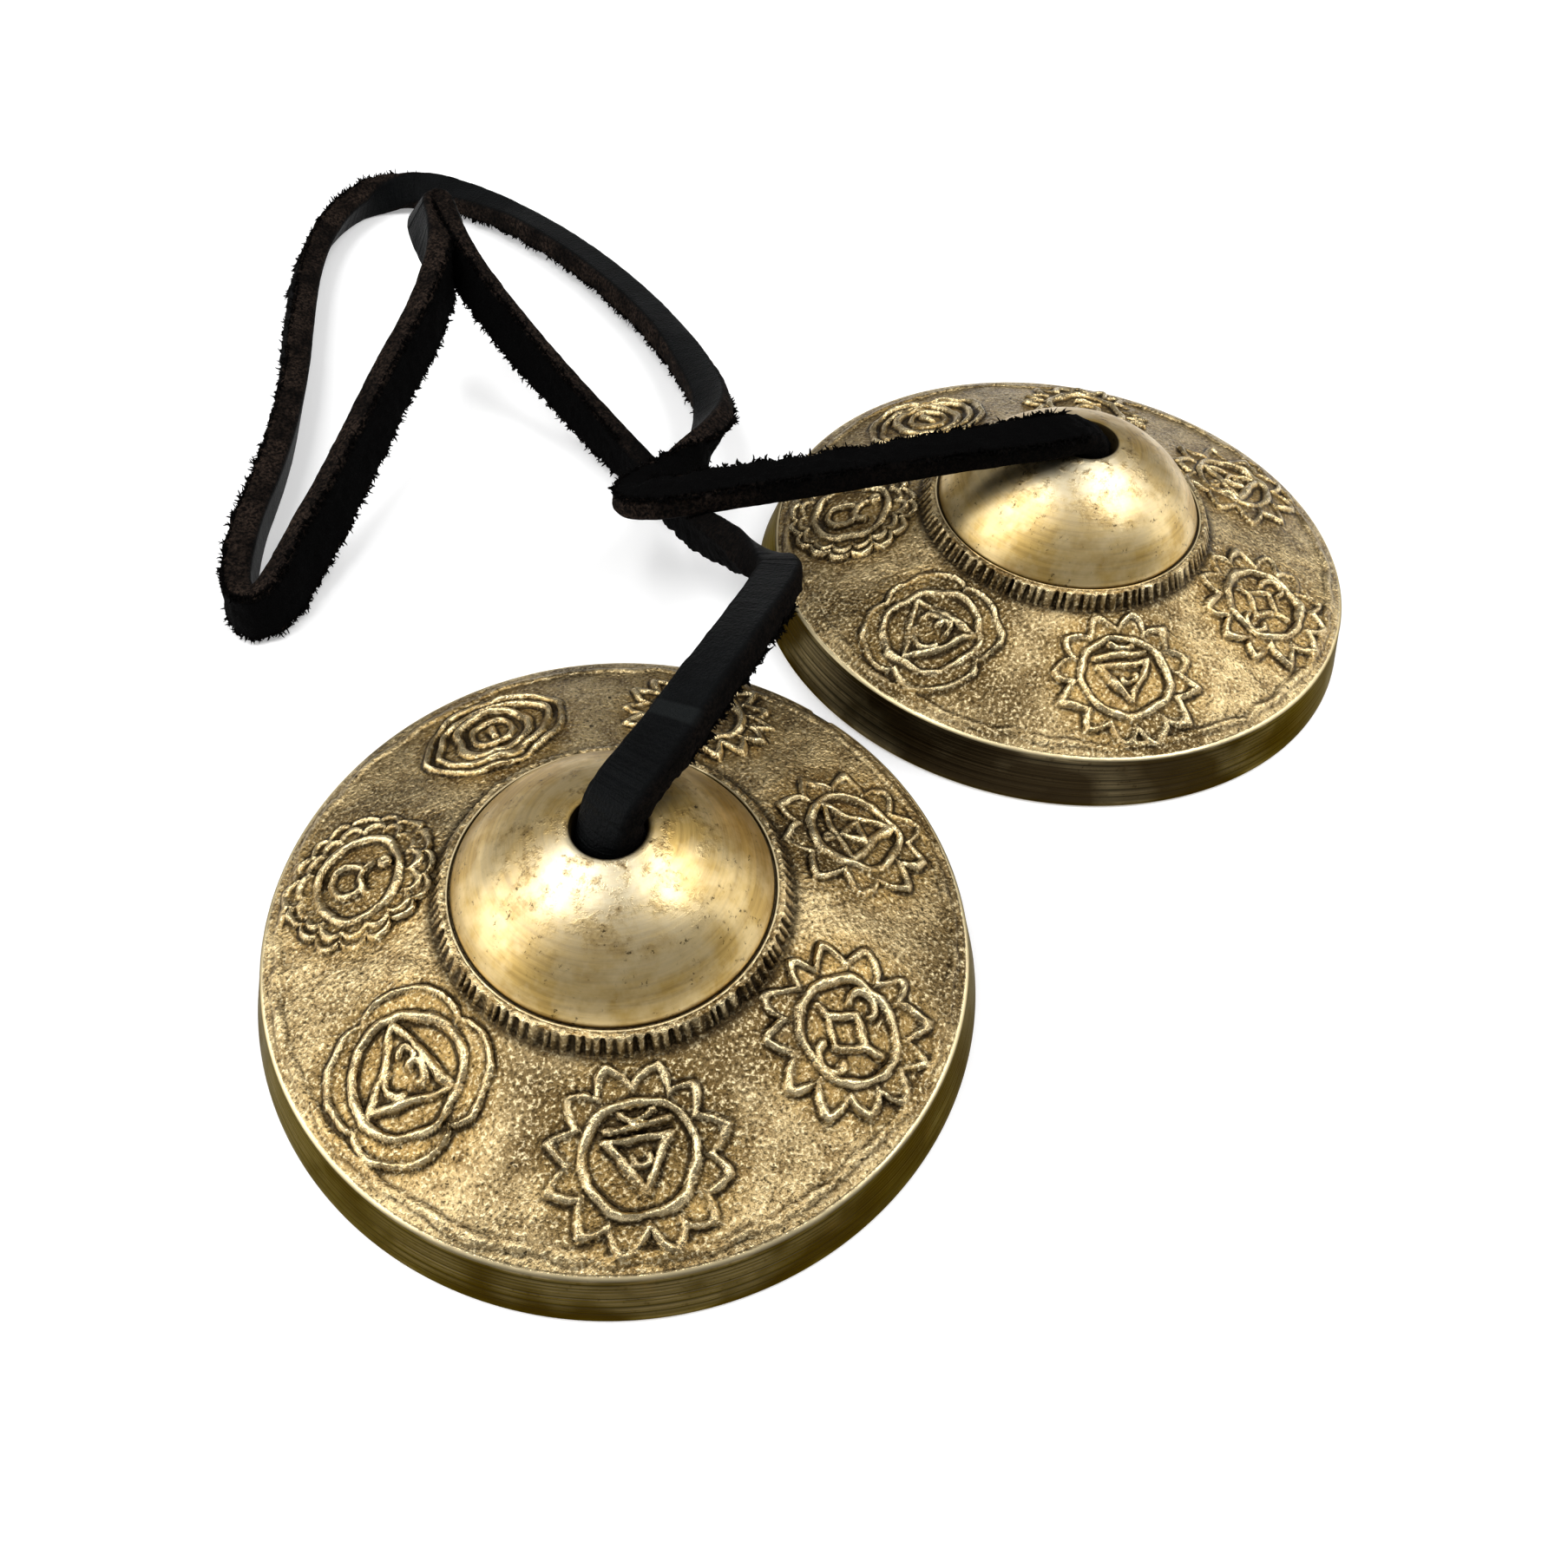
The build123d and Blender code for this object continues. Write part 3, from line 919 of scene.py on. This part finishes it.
def ledge_rings(uneven, fine_uneven):
    """Groove and thin lip at the dome's foot, the groove darkened by painted shade and the lip worn bright
    with a painted highlight, and the ledge round them.
    """
    yield ring(ledge_inner + GROOVE_INNER, collar_top - GROOVE_DEPTH, DOME_STEPS, TURNED, painted_shade=1)
    yield ring(ledge_inner + GROOVE_OUTER, collar_top - GROOVE_DEPTH, RELIEF_STEPS, CAST, painted_shade=1)
    yield ring(ledge_inner + LIP_INNER, collar_top - LIP_ROUND, RELIEF_STEPS, MACHINED, relief=1)
    yield ring(ledge_inner + LIP_OUTER, collar_top, RELIEF_STEPS, MACHINED, relief=1)
    height = collar_top - LIP_FOOT_DROP + LIP_FOOT_WAVE * fine_uneven
    yield ring(ledge_inner + LIP_FOOT, height, RELIEF_STEPS, CAST, painted_shade=0.35 + 0.3 * fine_uneven)
    height = collar_top - LEDGE_DROP + LEDGE_WAVE * uneven
    yield ring(ledge_inner + LEDGE_MIDDLE, height, RELIEF_STEPS, CAST, relief=0.3 + 0.4 * fine_uneven)


def collar_rings(seed, uneven, fine_uneven):
    """Fluted collar, its teeth cut unevenly by hand."""
    teeth = np.random.default_rng(seed).uniform(*FLUTE_SPREAD, FLUTE_COUNT)
    place = turns_round(RELIEF_STEPS) * FLUTE_COUNT / (2 * pi) + FLUTE_STRAY * uneven
    notch = (0.5 - 0.5 * np.cos(2 * pi * place)) ** FLUTE_SHARPNESS
    notch = teeth[np.floor(place).astype(int) % FLUTE_COUNT] * notch
    for share in np.linspace(0, 1, COLLAR_RINGS):
        cut = notch * min(1, FLUTE_TOP + FLUTE_DEEPENING * share) * (1 - FLUTE_FADING * share**3)
        radius = ledge_outer + COLLAR_LEAN * share - FLUTE_DEPTH * cut + COLLAR_ROUGHNESS * fine_uneven
        height = collar_top - COLLAR_HEIGHT * share - COLLAR_EDGE_DROP * (share == 0) * (1 + uneven)
        # Tooth tips worn bright with a painted highlight; painted shade in the notches, growing toward the
        # collar's foot
        tip = (1 - 0.7 * share) * (0.6 + 0.4 * uneven)
        yield ring(radius, height, RELIEF_STEPS, CAST, tip * (1 - cut), 1.2 * cut + 0.5 * share**2)


def flange_rings(seed, dent):
    """Flange with its relief, lowered at its edge by the dent."""
    radii = np.linspace(COLLAR_RADIUS + COLLAR_GAP, rim_radius - EDGE_ROUND, FLANGE_RINGS)
    grid_radius, grid_turn = np.meshgrid(radii, turns_round(RELIEF_STEPS), indexing="ij")
    relief, unevenness = flange_relief(grid_radius, grid_turn, seed)
    # Painted shade beside the relief and at the collar's foot
    dirt_and_shade = np.clip((blurred(relief, SHADE_SPREAD) - relief) / SHADE_RELIEF, 0, 1)
    foot = np.clip(1 - (grid_radius - COLLAR_RADIUS) / FOOT_SHADE_WIDTH, 0, 1)
    dirt_and_shade = np.maximum(dirt_and_shade, 0.8 * foot)
    # Edge worn bright with a painted highlight
    edge = np.clip(1 - (rim_radius - EDGE_ROUND - grid_radius) / WORN_HIGHLIT_EDGE_WIDTH, 0, 1)
    bright = np.maximum(relief / PETAL_HEIGHT, edge)
    near_edge = np.clip(1 - (rim_radius - grid_radius) / DENT_REACH, 0, 1) ** 2
    heights = flange_top(grid_radius) + relief + unevenness - near_edge * dent
    for row, radius in enumerate(radii):
        yield ring(radius, heights[row], RELIEF_STEPS, CAST, bright[row], dirt_and_shade[row])


def side_rings(dent):
    """Rounded edge and machined side of the rim; the edge and the bottom bevel are worn bright with a painted
    highlight.
    """
    for share in EDGE_SHARES:
        angle = share * pi / 2
        radius = rim_radius - EDGE_ROUND * (1 - sin(angle)) - 0.5 * dent
        height = RIM_HEIGHT - EDGE_ROUND * (1 - cos(angle)) + EDGE_LIFT * (1 - share)
        height = height - dent * (1.2 - 0.5 * share)
        yield ring(radius, height, RELIEF_STEPS, MACHINED, relief=1 - share)
    for share in np.linspace(WALL_START, 1, WALL_RINGS):
        height = (RIM_HEIGHT - EDGE_ROUND) * (1 - share) + EDGE_ROUND * share
        yield ring(rim_radius + RIM_FLARE * share, height, DOME_STEPS, MACHINED)
    bevel = 0.3 * EDGE_ROUND
    yield ring(bottom_radius - bevel, bevel, DOME_STEPS, MACHINED, relief=0.6)


def under_rings():
    """Rim face, sloping underside and the inside of the dome, darkened by painted shade; the rim face is worn
    bright with a faint painted highlight.
    """
    face_inner = bottom_radius - RIM_FACE_WIDTH
    inward = COLLAR_RADIUS - bottom_radius + RIM_FACE_WIDTH
    yield ring(bottom_radius - EDGE_ROUND, 0, DOME_STEPS, MACHINED, relief=0.4)
    yield ring(face_inner, 0, BACK_STEPS, MACHINED, relief=0.3)
    for share in UNDERSIDE_SHARES:
        height = (collar_foot - FLANGE_THICKNESS) * share
        yield ring(face_inner + inward * share, height, BACK_STEPS, CAST, painted_shade=0.25)
    last = asin(HOLE_RADIUS / hollow_radius) + HOLLOW_END
    yield from round_rings(hollow_radius, radians(HOLLOW_SPAN), last, HOLLOW_RINGS, BACK_STEPS, CAST, 0.8)


def cymbal_rings(seed, dented):
    """The cymbal's rings from the hole over the dome, down the rim and back under."""
    circle = ring_points(ledge_outer, 0, RELIEF_STEPS)
    uneven = soft_noise(circle, UNEVEN_CELL, seed + 7)
    fine_uneven = soft_noise(circle, FINE_UNEVEN_CELL, seed + 8)
    from_dent = (turns_round(RELIEF_STEPS) - radians(DENT_ANGLE) + pi) % (2 * pi) - pi
    dent = dented * DENT_DEPTH * ridge(np.abs(from_dent) * rim_radius, DENT_HALF_WIDTH)
    yield from dome_rings()
    yield from ledge_rings(uneven, fine_uneven)
    yield from collar_rings(seed, uneven, fine_uneven)
    yield from flange_rings(seed, dent)
    yield from side_rings(dent)
    yield from under_rings()


def make_cymbal(name, x, seed, dented, dark_turn, materials):
    """One cymbal as a closed mesh with its origin on the floor under its hole."""
    ring_places, ring_materials, wear_and_highlights, painted_shades = zip(*cymbal_rings(seed, dented))
    counts = [len(places) for places in ring_places]
    starts = np.concatenate([[0], np.cumsum(counts)])
    faces = []
    face_materials = []
    for index in range(len(counts)):
        after = (index + 1) % len(counts)
        new = bridge(starts[index], starts[after], counts[index], counts[after])
        faces += new
        face_materials += [ring_materials[after]] * len(new)
    points = np.concatenate(ring_places)
    stains_and_dark_side = soft_noise(points, STAIN_CELL, seed + 5) + 0.4 * soft_noise(points, STAIN_CELL / 3, seed + 6)
    dark_side = DARK_SHARE * np.cos(np.arctan2(points[:, 1], points[:, 0]) - radians(dark_turn))
    attributes = {
        "relief": np.concatenate(wear_and_highlights),
        "painted_shade": np.concatenate(painted_shades),
        "open_ground": open_ground(points),
        "stains_and_dark_side": stains_and_dark_side + dark_side,
    }
    piece = make_piece(name, points * MM, faces, materials, face_materials, attributes, SHARP_ANGLE)
    piece.location.x = x
    return piece


# Thong


def route_line(points):
    """Places along the smooth line that has the route's points as its control points."""
    line = bpy.data.curves.new("thong_line", "CURVE")
    line.dimensions = "3D"
    spline = line.splines.new("NURBS")
    spline.points.add(len(points) - 1)
    for control, point in zip(spline.points, points):
        control.co = (*point, 1)
    spline.order_u = 3
    spline.use_endpoint_u = True
    spline.resolution_u = STEPS_PER_POINT
    holder = bpy.data.objects.new("thong_line", line)
    mesh = bpy.data.meshes.new_from_object(holder)
    places = np.array([vertex.co for vertex in mesh.vertices])
    bpy.data.objects.remove(holder)
    bpy.data.curves.remove(line)
    bpy.data.meshes.remove(mesh)
    return places


def unit(vectors):
    """Vectors made 1 long."""
    return vectors / np.linalg.norm(vectors, axis=-1, keepdims=True)


def distances_along(places):
    """Length of the line up to each place."""
    steps = np.linalg.norm(np.diff(places, axis=0), axis=1)
    return np.concatenate([[0], np.cumsum(steps)])


def lie_along(count):
    """Width, thickness and roll of the thong at evenly spaced places along its route."""
    number = np.linspace(0, len(THONG_ROUTE) - 1, count)
    points, widths, thicknesses, rolls = np.array(THONG_LIE).T
    columns = [np.interp(number, points, values) for values in (widths * MM, thicknesses * MM, rolls)]
    return np.column_stack(columns)


def gathered_ends(places):
    """1 where the thong fills a hole, easing to 0 where it lies flat."""
    along = distances_along(places)
    to_end = np.minimum(along, along[-1] - along)
    share = np.clip((FLAT_AGAIN - to_end) / (FLAT_AGAIN - PLUG_END), 0, 1)
    return share * share * (3 - 2 * share)


def strip_axes(places, rolls):
    """Directions along the strip, out of its smooth face and across its width, at each place."""
    forward = unit(np.gradient(places, axis=0))
    level = forward * (1, 1, 0)
    lying = np.linalg.norm(level, axis=1) > LEAST_LEVEL
    number = np.arange(len(places))
    for axis in range(2):
        level[:, axis] = np.interp(number, number[lying], level[lying, axis])
    right = unit(np.cross(level, (0, 0, 1)))
    over = unit(np.cross(right, forward))
    right = np.cross(forward, over)
    turn = np.radians(rolls)[:, None]
    out = right * np.cos(turn) + over * np.sin(turn)
    return forward, out, np.cross(out, forward)


def strip_section():
    """Places round the strip's section: (across its width, out of its smooth face), anticlockwise."""
    middles = np.array((THONG_WIDTH, THONG_THICKNESS)) / 2 - THONG_CORNER
    corners = []
    for quarter, signs in enumerate(((1, 1), (-1, 1), (-1, -1), (1, -1))):
        angles = (quarter + np.arange(CORNER_STEPS + 1) / CORNER_STEPS) * pi / 2
        corners.append(middles * signs + THONG_CORNER * np.column_stack([np.cos(angles), np.sin(angles)]))
    places = []
    for corner, after, count in zip(corners, corners[1:] + corners[:1], (WIDE_STEPS, THIN_STEPS) * 2):
        shares = np.arange(1, count)[:, None] / count
        places += [corner, corner[-1] + (after[0] - corner[-1]) * shares]
    return np.concatenate(places)


def make_strip(name, places, lie, gathered, material, seed):
    """A leather strip along a line, with a smooth face, rough cut edges and closed ends.

    Lie holds its width, thickness and roll at each place; gathered is 1 where it is rolled up round."""
    widths, thicknesses, rolls = lie.T
    forward, out, wide = strip_axes(places, rolls)
    section = strip_section()
    count = len(section)

    # How far each place of the section is on a cut edge, the smooth face or the rough back
    half_width, half_thickness = THONG_WIDTH / 2, THONG_THICKNESS / 2
    edge = np.clip((np.abs(section[:, 0]) - half_width + THONG_CORNER) / (0.7 * THONG_CORNER), 0, 1)
    smooth = np.clip((section[:, 1] - half_thickness + 0.8 * THONG_CORNER) / (0.5 * THONG_CORNER), 0, 1)
    smooth = smooth * (1 - 0.7 * edge)
    flesh = np.clip((-section[:, 1] - half_thickness + 1.2 * THONG_CORNER) / THONG_CORNER, 0, 1)

    # Sections along the line, gathered round at the ends and roughened
    sized = section * np.stack([widths / THONG_WIDTH, thicknesses / THONG_THICKNESS], -1)[:, None]
    sized = sized + (PLUG_RADIUS * unit(section) - sized) * gathered[:, None, None]
    points = places[:, None] + wide[:, None] * sized[..., :1] + out[:, None] * sized[..., 1:]
    flat = points.reshape(-1, 3)
    coarse = soft_noise(flat, STRIP_WAVE, seed).reshape(len(places), count, 1)
    fine = soft_noise(flat, FINE_STRIP_WAVE, seed + 1).reshape(len(places), count, 1)
    rough = SMOOTH_ROUGHNESS + EDGE_ROUGHNESS * edge[None, :, None] + FLESH_ROUGHNESS * flesh[None, :, None]
    outward = unit(points - places[:, None])
    points = points + outward * rough * (coarse + 0.9 * fine)
    points[..., 2] = np.maximum(points[..., 2], FLOOR_CLEARANCE)

    ring_starts = [row * count for row in range(len(places))]
    faces = []
    for start, following in zip(ring_starts, ring_starts[1:]):
        faces += bridge(start, following, count, count)
    faces.append(list(range(count)))
    faces.append(list(range(ring_starts[-1], ring_starts[-1] + count)))
    along = distances_along(places)
    bend = np.linalg.norm(np.gradient(forward, along, axis=0), axis=1) * THONG_WIDTH
    attributes = {
        "smooth_face": np.tile(smooth, len(places)),
        "cut_edge": np.tile(edge, len(places)),
        "along": np.repeat(along, count),
        "bend": np.repeat(bend, count),
    }
    return make_piece(name, points.reshape(-1, 3), faces, [material], attributes=attributes), points, outward


def fibre_rows(row_count):
    """Numbers of the strip's rows that lie on the frayed stretches."""
    rows_per_point = (row_count - 1) / (len(THONG_ROUTE) - 1)
    ends = [(int(first * rows_per_point), int(last * rows_per_point)) for first, last in FIBRE_SPANS]
    return np.concatenate([np.arange(first, last) for first, last in ends])


def tuft_points(random, root, outward, forward):
    """Points of one tuft that curls away from its root: its rings and its tip."""
    lean = forward * random.uniform(-FIBRE_LEAN, FIBRE_LEAN)
    heading = unit(outward + lean + random.normal(0, FIBRE_STRAY, 3))
    length = FIBRE_LENGTH[0] + (FIBRE_LENGTH[1] - FIBRE_LENGTH[0]) * random.random() ** 2
    thickness = random.uniform(*FIBRE_THICKNESS)
    bend = unit(np.cross(heading, random.normal(0, 1, 3)))
    other = np.cross(heading, bend)
    for share, thick in FIBRE_RINGS:
        centre = root + heading * length * share + bend * length * FIBRE_CURL * share**2 * (share > 0)
        for angle in turns_round(FIBRE_SIDES):
            yield centre + (bend * cos(angle) + other * sin(angle)) * thickness / 2 * thick
    yield root + heading * length + bend * length * FIBRE_CURL


def tuft_faces(start):
    """Faces of one closed tuft, given the number of its first point."""
    tip = start + FIBRE_SIDES * len(FIBRE_RINGS)
    ring_starts = range(start, tip, FIBRE_SIDES)
    faces = []
    for low, high in zip(ring_starts, ring_starts[1:]):
        faces += bridge(low, high, FIBRE_SIDES, FIBRE_SIDES)
    last = ring_starts[-1]
    faces += [[last + side, last + (side + 1) % FIBRE_SIDES, tip] for side in range(FIBRE_SIDES)]
    faces.append(list(range(start, start + FIBRE_SIDES)))
    return faces


def make_fibres(name, points, outward, forward, material, seed):
    """Frayed tufts along the two corners of the strip's rough face."""
    random = np.random.default_rng(seed)
    section = strip_section()
    near_edge = np.abs(section[:, 0]) > THONG_WIDTH / 2 - 0.9 * THONG_CORNER
    near_back = section[:, 1] < -THONG_THICKNESS / 2 + 0.9 * THONG_CORNER
    on_corner = np.flatnonzero(near_edge & near_back)
    rows = fibre_rows(len(points))
    tufts = []
    faces = []
    for _ in range(FIBRE_COUNT):
        row = random.choice(rows)
        column = random.choice(on_corner)
        faces += tuft_faces(len(tufts))
        tufts += tuft_points(random, points[row, column], outward[row, column], forward[row])
    tufts = np.array(tufts)
    tufts[:, 2] = np.maximum(tufts[:, 2], FLOOR_CLEARANCE)
    attributes = {"smooth_face": np.zeros(len(tufts)), "cut_edge": np.full(len(tufts), 0.5)}
    return make_piece(name, tufts, faces, [material], attributes=attributes)


# Knot inside each dome, in millimetres about the hole's axis

KNOT_ENTRY = (0.6, 0.0, 17.8)
KNOT_TAIL_END = (1.6, -4.0, 7.6)
KNOT_MIDDLE = 13.0
KNOT_LOOP_RADIUS = 2.5
KNOT_WEAVE = 1.25
KNOT_HEIGHT = 2.3
KNOT_STRAND_WIDTH = 3.9
KNOT_STRAND_THICKNESS = 2.5
KNOT_TWIST = 160

# Part of the closed knot's turn that is kept, and the places along the loop, the lead into it and the tail
KNOT_SPAN = (0.06, 0.94)
KNOT_STEPS = 120
LEAD_STEPS = 14
TAIL_STEPS = 16
KNOT_SMOOTHINGS = 6


def knot_line():
    """Centre line of an overhand knot: down from the hole, round three crossings and out in a tail."""
    angle = np.linspace(*KNOT_SPAN, KNOT_STEPS) * 2 * pi
    reach = KNOT_LOOP_RADIUS + KNOT_WEAVE * np.cos(3 * angle)
    height = KNOT_MIDDLE + KNOT_HEIGHT * np.sin(3 * angle)
    loop = np.column_stack([reach * np.cos(2 * angle), reach * np.sin(2 * angle), height])
    lead = np.linspace(KNOT_ENTRY, loop[0], LEAD_STEPS)[:-1]
    tail = np.linspace(loop[-1], KNOT_TAIL_END, TAIL_STEPS)[1:]
    line = np.concatenate([lead, loop, tail])
    for _ in range(KNOT_SMOOTHINGS):
        line[1:-1] = (line[:-2] + 2 * line[1:-1] + line[2:]) / 4
    return line


def make_knot(name, x, material, seed):
    """One tied end of the thong."""
    places = knot_line() * MM + (x, 0, 0)
    count = len(places)
    widths = np.full(count, KNOT_STRAND_WIDTH * MM)
    thicknesses = np.full(count, KNOT_STRAND_THICKNESS * MM)
    lie = np.column_stack([widths, thicknesses, np.linspace(0, KNOT_TWIST, count)])
    return make_strip(name, places, lie, np.zeros(count), material, seed)[0]


# Stage: camera, floor, lamps and background

FLOOR_SIZE = 3.0
FLOOR_COLOUR = (0.80, 0.80, 0.80, 1)
FLOOR_GLOW = 0.30
HORIZON_LIGHT = 0.24
OVERHEAD_LIGHT = 0.52
WHITE = (1, 1, 1, 1)

# Shares of a cymbal's radius between which the floor's glow sets in, leaving painted shade on the floor under
# each cymbal
GLOW_STRETCH = (0.85, 0.97)

# Square soft lamps: name, place, point that it is turned to, side in metres and power in watts
LAMPS = (
    ("upper_left_lamp", (-0.23, 0.19, 0.56), (0, 0.02, 0), 0.36, 1.9),
    ("upper_right_lamp", (0.25, -0.22, 0.55), (0, 0.02, 0), 0.36, 2.1),
    ("low_left_lamp", (-0.50, 0.36, 0.24), (0, 0.04, 0), 0.50, 2.0),
    ("low_right_lamp", (0.48, -0.38, 0.20), (0, 0.04, 0), 0.36, 0.6),
)


def place_camera():
    """The camera at the photograph's angle."""
    data = bpy.data.cameras.new("camera")
    data.sensor_fit = "HORIZONTAL"
    data.sensor_width = SENSOR_WIDTH
    data.lens = CAMERA_LENS
    data.shift_x, data.shift_y = CAMERA_SHIFT
    data.clip_start = NEAREST_SEEN
    camera = bpy.data.objects.new("camera", data)
    turn = Euler((radians(90 - CAMERA_PITCH), 0, radians(CAMERA_HEADING - 90))).to_matrix()
    roll = Euler((0, 0, radians(CAMERA_ROLL))).to_matrix()
    camera.rotation_euler = (turn @ roll).to_euler()
    camera.location = CAMERA_PLACE
    bpy.context.scene.collection.objects.link(camera)
    bpy.context.scene.camera = camera


def seen_directly(tree):
    """1 for rays from the camera, a mirror-like surface or glass."""
    path = add(tree, "ShaderNodeLightPath", {})
    seen = reckon("MAXIMUM", path.outputs["Is Camera Ray"], path.outputs["Is Glossy Ray"])
    return reckon("MAXIMUM", seen, path.outputs["Is Transmission Ray"])


def open_floor(tree):
    """0 on the floor under either cymbal, where leaving out the glow paints shade, 1 clear of both."""
    place = place_on(tree)
    first, last = np.array(GLOW_STRETCH) * bottom_radius * MM
    clear = []
    for x in (-hole_x, hole_x):
        away = vectors("DISTANCE", place, (x, 0, 0))["Value"]
        clear.append(remap(away, first, last))
    return times(*clear)


def lay_floor():
    """A pale floor that keeps the object's shadow."""
    half = FLOOR_SIZE / 2
    corners = np.array([(-half, -half, 0), (half, -half, 0), (half, half, 0), (-half, half, 0)])
    material, tree = new_material("floor")
    matte = add(tree, "ShaderNodeBsdfDiffuse", {"Color": FLOOR_COLOUR})
    # Without the glow under the cymbals, the floor there shows painted shade
    seen = times(seen_directly(tree), open_floor(tree))
    glow = add(tree, "ShaderNodeEmission", {"Strength": times(seen, FLOOR_GLOW)})
    both = add(tree, "ShaderNodeAddShader", {0: matte.outputs[0], 1: glow.outputs[0]})
    add(tree, "ShaderNodeOutputMaterial", {"Surface": both.outputs[0]})
    make_piece("floor", corners, [[0, 1, 2, 3]], [material])


def light_world():
    """A soft white light that grows from the horizon to overhead."""
    world = bpy.data.worlds.new("studio")
    world.use_nodes = True
    tree = world.node_tree
    tree.nodes.clear()
    direction = add(tree, "ShaderNodeTexCoord", {}).outputs["Generated"]
    height = add(tree, "ShaderNodeSeparateXYZ", {0: direction}).outputs["Z"]
    strength = remap(height, 0, 1, HORIZON_LIGHT, OVERHEAD_LIGHT)
    glow = add(tree, "ShaderNodeBackground", {"Color": WHITE, "Strength": strength})
    add(tree, "ShaderNodeOutputWorld", {"Surface": glow.outputs[0]})
    bpy.context.scene.world = world


def hang_lamp(name, place, aim, size, power):
    """A square soft lamp turned to a point."""
    data = bpy.data.lights.new(name, "AREA")
    data.size = size
    data.energy = power
    lamp = bpy.data.objects.new(name, data)
    lamp.location = place
    lamp.rotation_euler = (Vector(aim) - Vector(place)).to_track_quat("-Z", "Y").to_euler()
    bpy.context.scene.collection.objects.link(lamp)


place_camera()
lay_floor()
light_world()
for lamp in LAMPS:
    hang_lamp(*lamp)

# The object
brass = [turned_brass(), cast_brass(), machined_brass()]
leather = black_leather()

for side, x, dented in (("left", -hole_x, True), ("right", hole_x, False)):
    cymbal = make_cymbal(f"{side}_casting", x, CASTING_SEEDS[side], dented, DARK_SIDES[side], brass)
    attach(cymbal, f"{side}_cymbal")
    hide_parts(f"{side}_cymbal")

thong_places = route_line(THONG_ROUTE)
lie = lie_along(len(thong_places))
gathered = gathered_ends(thong_places)
thong, strip_points, outward = make_strip("thong_strip", thong_places, lie, gathered, leather, THONG_SEED)
forward = strip_axes(thong_places, lie[:, 2])[0]
fibres = make_fibres("thong_fibres", strip_points, outward, forward, leather, FIBRE_SEED)
knots = [
    make_knot("left_tied_end", -hole_x, leather, KNOT_SEEDS["left"]),
    make_knot("right_tied_end", hole_x, leather, KNOT_SEEDS["right"]),
]

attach(thong, "thong")
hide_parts("thong")
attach(fibres, "thong")
for knot, body in zip(knots, ("left_knot", "right_knot")):
    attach(knot, body)
    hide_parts(body)

bpy.context.scene.view_settings.view_transform = "Standard"
